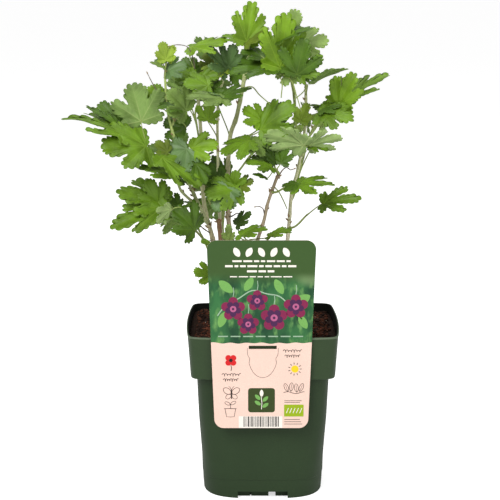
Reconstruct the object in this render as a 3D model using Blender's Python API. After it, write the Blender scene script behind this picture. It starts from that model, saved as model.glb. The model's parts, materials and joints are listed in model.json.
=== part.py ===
"""A gooseberry bush in a square nursery pot, with a hanging label card.

Every size is a real one in millimetres, and MM turns it into Blender's metres.
The origin is the middle of the pot's underside, +Z is up, and the label hangs
on the side that faces -Y.

The bush is a clump of thin stems. Each stem and each bough is one tapering
limb. Each mass of leaves is one solid: a twig that starts just clear of its
limb, leaf stalks that branch from the twig, and lobed blades fused to them.
"""
import math
import random
from dataclasses import dataclass
from enum import Enum

import bmesh
import bpy
from mathutils import Vector
from mathutils.bvhtree import BVHTree

MM = 0.001
GAP = 0.3
CLEAR = 0.2
PLAY = 0.4
CUTTER_PROUD = 1.0

# Pot: half-width, corner exponent, bulge of the sides and height of each level, outside then inside
POT_HEIGHT = 145.6
COLLAR_FOOT = 108.6
FLOOR_UNDERSIDE = 6.5
FLOOR_TOP = 8.5
POT_OUTSIDE = (
    (49.4, 3.3, 0.0, FLOOR_UNDERSIDE),
    (50.0, 3.3, 0.0, 0.0),
    (52.0, 3.3, 0.0, 0.0),
    (52.2, 3.5, 0.0, 5.0),
    (53.1, 4.5, 0.0, 32.0),
    (55.3, 6.2, 0.0, 68.0),
    (56.8, 8.5, 0.0, COLLAR_FOOT - 0.6),
    (60.9, 16.0, 0.02, COLLAR_FOOT),
    (62.6, 20.0, 0.05, POT_HEIGHT - 0.4),
    (62.2, 20.0, 0.05, POT_HEIGHT),
)
POT_INSIDE = (
    (61.4, 20.0, 0.05, POT_HEIGHT),
    (59.5, 16.0, 0.02, COLLAR_FOOT + 1.8),
    (55.4, 8.5, 0.0, COLLAR_FOOT + 1.2),
    (54.0, 6.2, 0.0, 68.0),
    (51.8, 4.5, 0.0, 32.0),
    (50.6, 3.5, 0.0, FLOOR_TOP),
)
# Points of each ring, crowded at its corners
RING_POINTS, CROWDING = 48, 0.2
SLOT_WIDTH, SLOT_HEIGHT, SLOT_DEPTH = 42.8, 6.2, 9.0
# Foot pads under the floor: from and to across X; the channel between the last two runs right through
FOOT_PADS = ((-22.0, -10.9), (-9.9, 5.0), (11.0, 22.0))
FOOT_PAD_REACH, FOOT_PAD_SUNK = 45.0, 0.9
DRAIN_HOLE_RADIUS, DRAIN_HOLE_PLACE = 4.5, 34.0

# Soil: fills the pot with a small gap and stays this far below the rim
SOIL_TOP = 139.6
SOIL_EDGE = 138.4
SOIL_FLAT = 57.0

# Label card: outline, thickness and the hook that hangs over the rim
LABEL_FOOT, LABEL_HEAD = 68.0, 229.0
LABEL_FOOT_HALF, LABEL_HEAD_HALF = 39.5, 45.0
LABEL_CENTRE = -1.5
LABEL_CORNER = 8.0
LABEL_THICKNESS = 0.7
LABEL_FRONT = -66.8
HOOK_WIDTH = 22.0
HOOK_BACK = -62.3
HOOK_FOOT = 139.7
HOOK_INSET = 0.1
CARD_SLOT = (-12.0, 11.3, 136.7, 139.6)

# Limbs: a seven-sided tube with a ring about every RING_STEP
LIMB_SIDES = 7
RING_STEP = 15.0
ROOT_FLARE = 1.35
BOUGH_LEAD = 2.0

# Twigs: square to the limb for TWIG_LEAD, then a curve that ends at HUB_SHARE of the way to the leaves
TWIG_SIDES = 3
TWIG_RADII = (1.1, 0.8)
TWIG_LEAD = 0.8
TWIG_HANDLES = (0.35, 0.3)
HUB_SHARE = 0.55

# Leaf stalks: start within a share of the twig and end through the blade, at a slant
STALK_RADII = (0.75, 0.5)
STALK_START = (0.55, 0.95)
STALK_HANDLE, STALK_SLANT = 0.35, 0.8
STALK_SEAT, STALK_PROUD = 0.9, 0.6

# Blades: arch and fold are shares of the blade's length, drawn for each leaf
LEAF_THICKNESS = 0.6
LEAF_ARCH = (0.10, 0.30)
LEAF_FOLD = (-0.10, 0.22)
GOLDEN_TURN = math.radians(137.5)

# Half of a blade's outline: degrees from the middle lobe, and share of the blade's length
HALF_OUTLINE = (
    (14, 0.86), (23, 0.58), (36, 0.80), (51, 0.71), (68, 0.44), (112, 0.30),
)
OUTLINE_NOTCH = 0.08
FAN_CENTRE = 0.2


class Face(Enum):
    """The way that the upper side of a blade looks."""

    FRONT = (0.0, -0.75, 0.65)
    OPEN = (0.0, -0.35, 0.94)
    EDGE = (0.0, 0.2, 0.98)
    UNDER = (0.0, 0.75, 0.66)
    BACK = (0.0, 0.6, 0.8)


@dataclass(frozen=True)
class Limb:
    """A stem that starts with a place on the soil, or a bough that leaves its parent at a height."""

    name: str
    points: tuple
    radii: tuple
    parent: str = ""
    height: float = 0.0


@dataclass(frozen=True)
class Leaf:
    """A blade from where its stalk ends to the tip of its middle lobe."""

    base: tuple
    tip: tuple
    face: Face
    width: float = 1.0


@dataclass(frozen=True)
class Spray:
    """A mass of leaves on a limb, at a height on it or at its tip (None).

    A spray with an aim has no leaves listed: it draws `count` of them, of
    length `blade`, round the aim.
    """

    name: str
    limb: str
    height: float | None
    leaves: tuple = ()
    aim: tuple = ()
    count: int = 0
    blade: float = 0.0


LIMBS = (
    Limb("stem_left", ((-29, 2), (-30, 3, 156), (-44, 4, 219), (-49, 5, 237), (-52, 7, 262),
                       (-53, 10, 304), (-56, 14, 343), (-57, 14, 352)), (2.7, 1.4)),
    Limb("stem_main", ((-22, 7), (-23, 6, 154), (-28, 5, 217), (-30, 4, 240), (-30, 3, 274),
                       (-28, 2, 306), (-22, 2, 325), (-14, 2, 365), (-12, 2, 374)), (2.4, 1.7)),
    Limb("stem_inner", ((-27, 14), (-28, 14, 154), (-36, 16, 217), (-38, 20, 248), (-39, 26, 281),
                        (-39, 34, 330), (-33, 38, 357)), (1.9, 1.1)),
    Limb("stem_right_inner", ((-21, -9), (-20, -9, 156), (-11, -12, 199), (0, -15, 233),
                              (4, -17, 251), (10, -19, 269), (13, -20, 277)), (2.1, 1.3)),
    Limb("stem_right", ((14, 5), (15, 6, 154), (22, 8, 218), (25, 10, 255), (30, 12, 274),
                        (34, 14, 295), (37, 16, 319), (37, 18, 346)), (2.2, 1.2)),
    Limb("stem_stub", ((-33, -7), (-34, -7, 165), (-36, -6, 210), (-38, -5, 236)), (2.3, 1.8)),
    Limb("bough_left", ((-54, -8, 247), (-62, -14, 266), (-69, -16, 284), (-75, -18, 308),
                        (-80, -20, 330), (-82, -20, 358)), (1.7, 1.0), "stem_left", 232),
    Limb("bough_left_low", ((-69, -19, 262), (-72, -21, 269), (-77, -23, 277)), (1.3, 1.0),
         "bough_left", 254),
    Limb("bough_right", ((38, 6, 300), (42, 3, 311), (47, 0, 321)), (1.2, 0.9), "stem_right", 289),
)

SPRAYS = (
    Spray("leaves_far_left", "bough_left_low", None, (
        Leaf((-120, -30, 317), (-166, -42, 329), Face.OPEN, 0.8),
        Leaf((-102, -22, 322), (-118, -20, 351), Face.UNDER, 1.1),
        Leaf((-98, -30, 302), (-133, -46, 301), Face.FRONT),
        Leaf((-123, -8, 318), (-139, -2, 335), Face.FRONT),
    )),
    Spray("leaves_left_band", "bough_left", 285, (
        Leaf((-84, -40, 294), (-53, -48, 269), Face.FRONT, 0.65),
        Leaf((-64, -30, 300), (-81, -38, 289), Face.FRONT, 1.3),
        Leaf((-60, -28, 300), (-38, -32, 306), Face.FRONT),
        Leaf((-80, -34, 298), (-90, -34, 306), Face.FRONT),
    )),
    Spray("leaves_left_mid", "bough_left", 318, (
        Leaf((-88, -8, 335), (-99, -4, 349), Face.FRONT),
        Leaf((-64, -24, 331), (-79, -32, 348), Face.FRONT, 1.1),
        Leaf((-66, -6, 315), (-84, -2, 320), Face.FRONT, 1.3),
    )),
    Spray("leaves_upper_left", "bough_left", None, (
        Leaf((-81, -20, 373), (-84, -20, 388), Face.FRONT),
        Leaf((-83, -24, 367), (-94, -28, 371), Face.OPEN, 0.7),
        Leaf((-84, -14, 370), (-88, -12, 378), Face.FRONT),
        Leaf((-80, -18, 364), (-66, -20, 373), Face.FRONT),
    )),
    Spray("leaves_left_high", "stem_left", 330, (
        Leaf((-38, -36, 339), (-65, -52, 334), Face.OPEN),
        Leaf((-36, -14, 340), (-10, -16, 348), Face.OPEN, 0.8),
        Leaf((-48, 2, 344), (-32, -6, 344), Face.FRONT),
        Leaf((-47, -4, 321), (-44, -8, 337), Face.FRONT),
    )),
    Spray("leaves_top_left", "stem_left", None, (
        Leaf((-57, 6, 356), (-74, 0, 352), Face.FRONT, 1.2),
        Leaf((-60, 22, 360), (-69, 26, 371), Face.FRONT),
        Leaf((-61, 14, 382), (-31, 8, 388), Face.OPEN, 0.8),
    )),
    Spray("leaves_top_inner", "stem_inner", None, (
        Leaf((-31, 20, 362), (-49, 10, 380), Face.FRONT),
        Leaf((-29, 32, 358), (-17, 28, 373), Face.FRONT),
        Leaf((-44, 38, 362), (-51, 40, 374), Face.FRONT),
        Leaf((-36, 24, 364), (-53, 14, 357), Face.OPEN),
    )),
    Spray("leaves_top", "stem_main", None, (
        Leaf((-17, 0, 387), (-9, 4, 421), Face.FRONT, 0.85),
        Leaf((-18, 8, 385), (-33, 12, 394), Face.FRONT),
        Leaf((-13, -4, 384), (5, -8, 397), Face.FRONT),
        Leaf((0, -20, 367), (-30, -28, 362), Face.EDGE, 0.7),
    )),
    Spray("leaves_top_right", "stem_right", None, (
        Leaf((16, -32, 370), (25, -34, 411), Face.FRONT, 1.1),
        Leaf((30, 12, 379), (55, 8, 394), Face.FRONT),
        Leaf((27, 2, 361), (32, 4, 390), Face.FRONT, 1.1),
        Leaf((30, -10, 364), (50, -14, 374), Face.FRONT),
        Leaf((24, -16, 361), (15, -28, 351), Face.FRONT),
        Leaf((44, 14, 351), (73, 10, 362), Face.EDGE),
    )),
    Spray("leaves_right_high", "bough_right", None, (
        Leaf((64, -4, 334), (77, -6, 361), Face.FRONT),
        Leaf((72, 8, 338), (108, 10, 358), Face.OPEN, 0.6),
        Leaf((49, -10, 328), (75, -24, 322), Face.FRONT),
    )),
    Spray("leaves_right_mid", "stem_right", 297, (
        Leaf((32, 6, 319), (39, 8, 334), Face.FRONT, 0.8),
        Leaf((34, -10, 299), (1, -18, 309), Face.UNDER, 1.1),
        Leaf((40, -8, 302), (66, -14, 308), Face.UNDER),
    )),
    Spray("leaves_centre", "stem_main", 300, (
        Leaf((-2, -22, 315), (27, -28, 339), Face.FRONT),
        Leaf((-5, -16, 316), (-18, -16, 331), Face.FRONT),
        Leaf((-12, -30, 307), (-35, -38, 297), Face.OPEN),
        Leaf((-10, -28, 306), (0, -36, 294), Face.OPEN),
    )),
    Spray("leaves_centre_right", "stem_right_inner", None, (
        Leaf((9, -22, 286), (-1, -20, 304), Face.FRONT, 1.2),
        Leaf((15, -24, 287), (20, -24, 302), Face.FRONT),
        Leaf((6, -36, 286), (-14, -46, 290), Face.FRONT),
        Leaf((2, -34, 276), (-9, -38, 279), Face.OPEN),
    )),
    Spray("leaves_right_low", "stem_right_inner", 262, (
        Leaf((32, -36, 274), (58, -48, 271), Face.FRONT, 1.1),
        Leaf((27, -36, 272), (18, -44, 266), Face.FRONT),
    )),
    Spray("leaves_right_far", "stem_right", 226, (
        Leaf((51, -20, 252), (82, -30, 257), Face.FRONT, 0.75),
    )),
    Spray("leaves_centre_low", "stem_main", 248, (
        Leaf((-22, -30, 267), (-48, -38, 262), Face.FRONT),
        Leaf((-21, -32, 264), (-33, -40, 248), Face.FRONT),
        Leaf((-19, -28, 268), (-8, -32, 273), Face.FRONT, 1.3),
        Leaf((-39, -12, 266), (-48, -12, 284), Face.FRONT),
    )),
    Spray("leaves_left_low", "stem_left", 214, (
        Leaf((-82, -26, 253), (-122, -38, 262), Face.FRONT, 0.85),
        Leaf((-85, -34, 249), (-127, -52, 232), Face.FRONT, 0.65),
        Leaf((-58, -34, 229), (-77, -42, 250), Face.FRONT, 1.2),
        Leaf((-77, -44, 251), (-88, -50, 240), Face.UNDER),
        Leaf((-72, -14, 248), (-83, -14, 257), Face.FRONT),
    )),
    Spray("leaves_low_middle", "stem_right_inner", 212, (
        Leaf((-22, -28, 235), (-10, -34, 246), Face.FRONT),
        Leaf((-19, -40, 229), (3, -48, 234), Face.OPEN),
        Leaf((5, -32, 226), (24, -38, 231), Face.OPEN),
        Leaf((-29, -38, 222), (-29, -44, 238), Face.FRONT, 0.6),
    )),
    Spray("leaves_low_left", "stem_stub", 178, (
        Leaf((-40, -40, 218), (-52, -46, 224), Face.OPEN),
        Leaf((-43, -48, 195), (-58, -54, 200), Face.FRONT),
    )),
    Spray("leaves_back_left_low", "stem_left", 196, aim=(-66, 28, 240), count=3, blade=24),
    Spray("leaves_back_left", "stem_inner", 240, aim=(-70, 45, 276), count=3, blade=26),
    Spray("leaves_back_left_high", "stem_left", 300, aim=(-63, 50, 334), count=3, blade=26),
    Spray("leaves_back_top", "stem_inner", 330, aim=(-36, 62, 360), count=3, blade=25),
    Spray("leaves_back_middle", "stem_main", 270, aim=(5, 42, 299), count=3, blade=27),
    Spray("leaves_back_low", "stem_inner", 200, aim=(-30, 56, 250), count=3, blade=25),
    Spray("leaves_back_right_top", "stem_right", 302, aim=(26, 60, 368), count=3, blade=26),
    Spray("leaves_back_right", "stem_right", 250, aim=(46, 56, 300), count=3, blade=27),
    Spray("leaves_back_right_far", "bough_right", 308, aim=(64, 34, 330), count=3, blade=22),
)


def clear_scene():
    """Take every object out of the scene."""
    for obj in list(bpy.data.objects):
        bpy.data.objects.remove(obj, do_unlink=True)


def plain_material(name, rgb, roughness):
    """A Principled material of an sRGB colour given as 0 to 255."""
    made = bpy.data.materials.new(name)
    made.use_nodes = True
    shader = made.node_tree.nodes["Principled BSDF"]
    linear = [(channel / 255) ** 2.2 for channel in rgb]
    shader.inputs["Base Color"].default_value = (*linear, 1.0)
    shader.inputs["Roughness"].default_value = roughness
    shader.inputs["Metallic"].default_value = 0.0
    return made


def mesh_object(name, shape, material=None):
    """An object from (points in millimetres, faces), with its faces turned outwards."""
    points, faces = shape
    mesh = bpy.data.meshes.new(name)
    mesh.from_pydata([tuple(point * MM) for point in points], [], faces)
    bm = bmesh.new()
    bm.from_mesh(mesh)
    bmesh.ops.recalc_face_normals(bm, faces=bm.faces)
    bm.to_mesh(mesh)
    bm.free()
    obj = bpy.data.objects.new(name, mesh)
    bpy.context.scene.collection.objects.link(obj)
    if material:
        mesh.materials.append(material)
    return obj


def box_shape(low, high):
    """A box between two corners."""
    points = [Vector((x, y, z)) for z in (low[2], high[2]) for y in (low[1], high[1])
              for x in (low[0], high[0])]
    faces = [(0, 2, 3, 1), (4, 5, 7, 6), (0, 1, 5, 4), (2, 6, 7, 3), (0, 4, 6, 2), (1, 3, 7, 5)]
    return points, faces


def lofted(rings):
    """A closed shape through rings of the same number of points, capped at both ends."""
    count = len(rings[0])
    points = [point for ring in rings for point in ring]
    faces = []
    for level in range(len(rings) - 1):
        for k in range(count):
            here = level * count + k
            beside = level * count + (k + 1) % count
            faces.append((here, beside, beside + count, here + count))
    faces.append(tuple(reversed(range(count))))
    faces.append(tuple(range(len(points) - count, len(points))))
    return points, faces


def square_ring(half, exponent, bulge, z):
    """A rounded square: the higher the exponent, the tighter its corners; its sides bulge by a share of the half."""
    ring = []
    for k in range(RING_POINTS):
        turn = 2 * math.pi * k / RING_POINTS
        turn += CROWDING * math.sin(4 * turn)
        across, along = math.cos(turn), math.sin(turn)
        reach = (abs(across) ** exponent + abs(along) ** exponent) ** (-1 / exponent)
        across, along = across * reach, along * reach
        ring.append(Vector((
            half * across * (1 + bulge * (1 - along * along)),
            half * along * (1 + bulge * (1 - across * across)),
            z,
        )))
    return ring


def apply_boolean(target, operation, tools):
    """Apply one exact Boolean with a whole collection, then remove its objects."""
    modifier = target.modifiers.new(operation.lower(), "BOOLEAN")
    modifier.operation = operation
    modifier.solver = "EXACT"
    modifier.operand_type = "COLLECTION"
    modifier.collection = tools
    graph = bpy.context.evaluated_depsgraph_get()
    result = bpy.data.meshes.new_from_object(target.evaluated_get(graph))
    target.modifiers.clear()
    old = target.data
    result.name = target.name
    target.data = result
    bpy.data.meshes.remove(old)
    for tool in list(tools.objects):
        bpy.data.objects.remove(tool, do_unlink=True)
    bpy.data.collections.remove(tools)


def tool_collection(shapes):
    """A collection of plain objects for a Boolean."""
    tools = bpy.data.collections.new("tools")
    bpy.context.scene.collection.children.link(tools)
    for shape in shapes:
        obj = mesh_object("tool", shape)
        bpy.context.scene.collection.objects.unlink(obj)
        tools.objects.link(obj)
    return tools


def make_pot(material):
    """The pot: thin walls with a collar, a raised floor on foot pads, skirt slots and drain holes."""
    rings = [square_ring(*level) for level in POT_OUTSIDE + POT_INSIDE]
    pot = mesh_object("pot", lofted(rings), material)
    half, outer = SLOT_WIDTH / 2, POT_OUTSIDE[2][0] + CUTTER_PROUD
    inner = outer - SLOT_DEPTH
    cuts = []
    for side in (-1, 1):
        near, far = sorted((side * inner, side * outer))
        cuts.append(box_shape((-half, near, -CUTTER_PROUD), (half, far, SLOT_HEIGHT)))
        cuts.append(box_shape((near, -half, -CUTTER_PROUD), (far, half, SLOT_HEIGHT)))
        for other in (-1, 1):
            hole = [
                [Vector((side * DRAIN_HOLE_PLACE + DRAIN_HOLE_RADIUS * math.cos(k * math.pi / 6),
                         other * DRAIN_HOLE_PLACE + DRAIN_HOLE_RADIUS * math.sin(k * math.pi / 6),
                         z)) for k in range(12)]
                for z in (FLOOR_UNDERSIDE - CUTTER_PROUD, FLOOR_TOP + CUTTER_PROUD)
            ]
            cuts.append(lofted(hole))
    apply_boolean(pot, "DIFFERENCE", tool_collection(cuts))
    pad_head = FLOOR_UNDERSIDE + FOOT_PAD_SUNK
    pads = [box_shape((left, -FOOT_PAD_REACH, 0.0), (right, FOOT_PAD_REACH, pad_head))
            for left, right in FOOT_PADS]
    apply_boolean(pot, "UNION", tool_collection(pads))
    return pot


def inner_ring(z, clear):
    """The inside of the pot's collar at a height, made smaller by a clearance."""
    top, foot = POT_INSIDE[0], POT_INSIDE[1]
    share = (z - foot[3]) / (top[3] - foot[3])
    shrink = 1 - clear / foot[0]
    ring = []
    for low, high in zip(square_ring(*foot), square_ring(*top)):
        point = low.lerp(high, share)
        ring.append(Vector((point.x * shrink, point.y * shrink, z)))
    return ring


def make_soil(material):
    """The soil: the pot's inside made a little smaller, with a flat top that falls to the wall."""
    rings = [square_ring(half - PLAY, exponent, bulge, z + PLAY)
             for half, exponent, bulge, z in reversed(POT_INSIDE[1:])]
    exponent, bulge = POT_INSIDE[0][1:3]
    rings.append(inner_ring(SOIL_EDGE, PLAY))
    rings.append(square_ring(SOIL_FLAT, exponent, bulge, SOIL_TOP))
    return mesh_object("soil", lofted(rings), material)


def card_outline(y):
    """The card's outline in a plane of constant y, with arcs at its corners."""
    middle = (LABEL_FOOT + LABEL_HEAD) / 2
    outline = []
    corners = (
        (LABEL_HEAD_HALF, LABEL_HEAD, 0), (-LABEL_HEAD_HALF, LABEL_HEAD, 90),
        (-LABEL_FOOT_HALF, LABEL_FOOT, 180), (LABEL_FOOT_HALF, LABEL_FOOT, 270),
    )
    for x, z, first in corners:
        centre_x = LABEL_CENTRE + x - math.copysign(LABEL_CORNER, x)
        centre_z = z - math.copysign(LABEL_CORNER, z - middle)
        for step in range(5):
            turn = math.radians(first + step * 22.5)
            outline.append(Vector((
                centre_x + LABEL_CORNER * math.cos(turn), y, centre_z + LABEL_CORNER * math.sin(turn))))
    return outline


def make_label(material):
    """The label: a thin card in front of the collar, and a hook over the rim."""
    back = LABEL_FRONT + LABEL_THICKNESS
    label = mesh_object("label", lofted([card_outline(LABEL_FRONT), card_outline(back)]), material)
    half = HOOK_WIDTH / 2
    bridge_foot = POT_HEIGHT + PLAY
    bridge_head = bridge_foot + LABEL_THICKNESS
    sunk = LABEL_FRONT + LABEL_THICKNESS / 2
    hook = (
        box_shape((-half, sunk, bridge_foot), (half, HOOK_BACK, bridge_head)),
        box_shape((HOOK_INSET - half, HOOK_BACK - LABEL_THICKNESS, HOOK_FOOT),
                  (half - HOOK_INSET, HOOK_BACK - HOOK_INSET, bridge_head - HOOK_INSET)),
    )
    apply_boolean(label, "UNION", tool_collection(hook))
    left, right, foot, head = CARD_SLOT
    slot = box_shape((left, LABEL_FRONT - CUTTER_PROUD, foot), (right, back + CUTTER_PROUD, head))
    apply_boolean(label, "DIFFERENCE", tool_collection([slot]))
    return label


def smooth_path(points, step):
    """Points about `step` apart on a Catmull-Rom curve through the given ones."""
    ends = [2 * points[0] - points[1], *points, 2 * points[-1] - points[-2]]
    path = []
    for a, b, c, d in zip(ends, ends[1:], ends[2:], ends[3:]):
        pieces = max(1, round((c - b).length / step))
        for k in range(pieces):
            t = k / pieces
            path.append(0.5 * (2 * b + (c - a) * t + (2 * a - 5 * b + 4 * c - d) * t * t
                               + (3 * b - a - 3 * c + d) * t ** 3))
    path.append(points[-1].copy())
    return path


def tube(path, radii, sides):
    """A tube along a path with a radius at each point and flat ends."""
    rings = []
    side = None
    for i, point in enumerate(path):
        ahead = (path[min(i + 1, len(path) - 1)] - path[max(i - 1, 0)]).normalized()
        side = side or ahead.orthogonal()
        side = (side - ahead * side.dot(ahead)).normalized()
        other = ahead.cross(side)
        rings.append([
            point + radii[i] * (side * math.cos(2 * math.pi * k / sides)
                                + other * math.sin(2 * math.pi * k / sides))
            for k in range(sides)
        ])
    return lofted(rings)


def taper(radii, count):
    """Radii that fall evenly from the first to the last of the two given."""
    return [radii[0] + (radii[1] - radii[0]) * i / (count - 1) for i in range(count)]


def place_on(path, radii, height):
    """Axis point, direction and radius of a limb at a height, or at its tip for None."""
    if height is None:
        return path[-1], (path[-1] - path[-2]).normalized(), 0.0
    for i, (here, after) in enumerate(zip(path, path[1:])):
        if here.z <= height <= after.z:
            share = (height - here.z) / (after.z - here.z)
            return here.lerp(after, share), (after - here).normalized(), radii[i]
    raise ValueError(f"no such height on this limb: {height}")


def side_root(path, radii, height, towards):
    """Where something leaves a limb: the point GAP clear of its bark, and the way out."""
    foot, ahead, radius = place_on(path, radii, height)
    out = ahead
    if height is not None:
        out = towards - foot
        out = (out - ahead * out.dot(ahead)).normalized()
    return foot + out * (radius + GAP), out


def limb_path(limb, limbs):
    """The limb's axis, from the soil or from just clear of its parent."""
    if limb.parent:
        points = [Vector(point) for point in limb.points]
        root, out = side_root(*limbs[limb.parent], limb.height, points[0])
        return smooth_path([root, root + out * BOUGH_LEAD, *points], RING_STEP)
    x, y = limb.points[0]
    points = [Vector((x, y, SOIL_TOP + GAP)), *(Vector(point) for point in limb.points[1:])]
    return smooth_path(points, RING_STEP)


def make_limb(limb, limbs, material):
    """One stem or bough as a tapering tube, with a flare and a level cut at the soil."""
    path = limb_path(limb, limbs)
    radii = taper(limb.radii, len(path))
    if not limb.parent:
        radii[0] *= ROOT_FLARE
    points, faces = tube(path, radii, LIMB_SIDES)
    if not limb.parent:
        for point in points[:LIMB_SIDES]:
            point.z = SOIL_TOP + GAP
    return mesh_object(limb.name, (points, faces), material), path, radii


def curve_points(start, lead, follow, end, pieces):
    """Points on a cubic curve from start to end, shaped by its two handles."""
    found = []
    for k in range(pieces + 1):
        t = k / pieces
        found.append(start * (1 - t) ** 3 + lead * 3 * t * (1 - t) ** 2
                     + follow * 3 * t * t * (1 - t) + end * t ** 3)
    return found


def point_along(path, share):
    """The point at a share of the way along a path's points."""
    place = share * (len(path) - 1)
    first = min(int(place), len(path) - 2)
    return path[first].lerp(path[first + 1], place - first)


def drawn_leaves(spray, rng):
    """Leaves of a spray without a list: they turn round its aim and look up and back."""
    aim = Vector(spray.aim)
    outward = Vector((aim.x * 0.4, aim.y, 0)).normalized()
    across = outward.cross(Vector((0, 0, 1)))
    leaves = []
    for i in range(spray.count):
        turn = i * GOLDEN_TURN + rng.uniform(-0.3, 0.3)
        spread = across * math.cos(turn) + Vector((0, 0, 1)) * math.sin(turn)
        base = aim + spread * spray.blade * rng.uniform(0.35, 0.5)
        heading = (spread + outward * rng.uniform(0.2, 0.6)).normalized()
        tip = base + heading * spray.blade * rng.uniform(0.8, 1.1)
        leaves.append(Leaf(tuple(base), tuple(tip), Face.BACK))
    return leaves


def blade(leaf, rng):
    """A closed thin blade of five lobes, arched along its length, and where its stalk ends."""
    base, tip = Vector(leaf.base), Vector(leaf.tip)
    length = (tip - base).length
    axis = (tip - base).normalized()
    face = Vector(leaf.face.value)
    normal = (face - axis * face.dot(axis)).normalized()
    side = normal.cross(axis)
    arch = rng.uniform(*LEAF_ARCH)
    fold = rng.uniform(*LEAF_FOLD)
    outline = [(0.0, 1.0)]
    outline += [(math.radians(turn), reach) for turn, reach in HALF_OUTLINE]
    outline += [(math.pi, OUTLINE_NOTCH)]
    outline += [(-math.radians(turn), reach) for turn, reach in reversed(HALF_OUTLINE)]
    rim = []
    for turn, reach in outline:
        along = reach * math.cos(turn)
        across = reach * math.sin(turn) * leaf.width
        rise = arch * along * (1 - along) - fold * abs(across)
        rim.append(base + length * (axis * along + side * across + normal * rise))
    up = normal * LEAF_THICKNESS / 2
    count = len(rim)
    centre = base + length * FAN_CENTRE * (axis + normal * arch * (1 - FAN_CENTRE))
    points = [point + up for point in rim] + [point - up for point in rim]
    points += [centre + up, centre - up]
    faces = []
    for k in range(count):
        after = (k + 1) % count
        faces.append((k, after, 2 * count))
        faces.append((count + after, count + k, 2 * count + 1))
        faces.append((count + k, count + after, after, k))
    notch = rim[1 + len(HALF_OUTLINE)]
    return (points, faces), notch.lerp(centre, STALK_SEAT), axis, normal


def stalk(start, heading, seat, axis, normal):
    """A leaf stalk from inside the twig, through the blade at its seat from whichever side is nearer."""
    through = normal if (seat - start).dot(normal) > 0 else -normal
    end = seat + through * STALK_PROUD
    reach = (end - start).length
    lead = start + heading * reach * STALK_HANDLE
    follow = end - (axis + through * STALK_SLANT).normalized() * reach * STALK_HANDLE
    path = curve_points(start, lead, follow, end, 3)
    return tube(path, taper(STALK_RADII, len(path)), TWIG_SIDES)


def tree_of(shape):
    """A search tree of a shape's faces, in millimetres."""
    return BVHTree.FromPolygons([tuple(point) for point in shape[0]], shape[1])


def shape_of(obj):
    """An object's points in millimetres, and its faces."""
    points = [vertex.co / MM for vertex in obj.data.vertices]
    return points, [tuple(face.vertices) for face in obj.data.polygons]


def is_clear(shape, obstacles):
    """Whether a shape neither cuts nor comes within CLEAR of any obstacle."""
    tree = tree_of(shape)
    for obstacle, corners in obstacles:
        if tree.overlap(obstacle):
            return False
        if any(obstacle.find_nearest(point, CLEAR)[0] for point in shape[0]):
            return False
        if any(tree.find_nearest(point, CLEAR)[0] for point in corners):
            return False
    return True


def spray_shapes(spray, limb, obstacles):
    """The loose pieces of a mass: its twig, and the stalk and blade of each leaf with room."""
    path, radii = limb
    rng = random.Random(spray.name)
    leaves = list(spray.leaves) or drawn_leaves(spray, rng)
    middle = sum((Vector(leaf.base) for leaf in leaves), Vector()) / len(leaves)
    root, out = side_root(path, radii, spray.height, middle)
    hub = root.lerp(middle, HUB_SHARE)
    heading = (middle - root).normalized()
    reach = (hub - root).length
    lead = root + out * reach * TWIG_HANDLES[0]
    follow = hub - heading * reach * TWIG_HANDLES[1]
    twig_path = curve_points(root, lead, follow, hub, 3)
    twig_path.insert(1, root + out * TWIG_LEAD)
    shapes = [tube(twig_path, taper(TWIG_RADII, len(twig_path)), TWIG_SIDES)]
    for i, leaf in enumerate(leaves):
        leaf_rng = random.Random(f"{spray.name} {i}")
        start = point_along(twig_path, leaf_rng.uniform(*STALK_START))
        shape, *seat = blade(leaf, leaf_rng)
        leaf_stalk = stalk(start, heading, *seat)
        if is_clear(shape, obstacles) and is_clear(leaf_stalk, obstacles):
            shapes += [leaf_stalk, shape]
    return shapes


def make_mass(spray, limb, obstacles, material):
    """One mass of leaves, fused into one solid."""
    first, *others = spray_shapes(spray, limb, obstacles)
    mass = mesh_object(spray.name, first)
    apply_boolean(mass, "UNION", tool_collection(others))
    mass.data.materials.clear()
    mass.data.materials.append(material)
    return mass


def main():
    """Make the pot, the soil, the label, the limbs and then each mass of leaves."""
    clear_scene()
    plastic = plain_material("pot_plastic", (60, 78, 52), 0.55)
    peat = plain_material("peat", (48, 34, 26), 0.95)
    card = plain_material("label_card", (233, 205, 183), 0.4)
    old_bark = plain_material("old_bark", (150, 128, 104), 0.8)
    young_bark = plain_material("young_bark", (158, 164, 110), 0.6)
    green = plain_material("leaf_green", (92, 136, 42), 0.5)

    obstacles = []

    def keep_clear_of(obj):
        shape = shape_of(obj)
        obstacles.append((tree_of(shape), shape[0]))

    for maker, material in ((make_pot, plastic), (make_soil, peat), (make_label, card)):
        keep_clear_of(maker(material))
    limbs = {}
    for limb in LIMBS:
        bark = young_bark if limb.parent else old_bark
        obj, path, radii = make_limb(limb, limbs, bark)
        limbs[limb.name] = (path, radii)
        keep_clear_of(obj)
    for spray in SPRAYS:
        keep_clear_of(make_mass(spray, limbs[spray.limb], obstacles, green))


main()
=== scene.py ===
"""Looks of a young gooseberry bush in a square nursery pot with a hanging label card.

Sizes are real ones in millimetres and MM turns them into Blender's metres. The
frame has +Z up, its origin in the middle of the pot's underside, and the label on
the side that faces -Y. The bush repeats the limbs, sprays and growing rule of the
solids, and carries them on to bark, buds, stalks, veins and toothed blades.
"""
from __future__ import annotations

import json
import logging
import math
import random
from dataclasses import dataclass, field
from enum import Enum
from functools import cached_property

import bpy
import numpy as np
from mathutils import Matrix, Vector, noise

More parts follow.
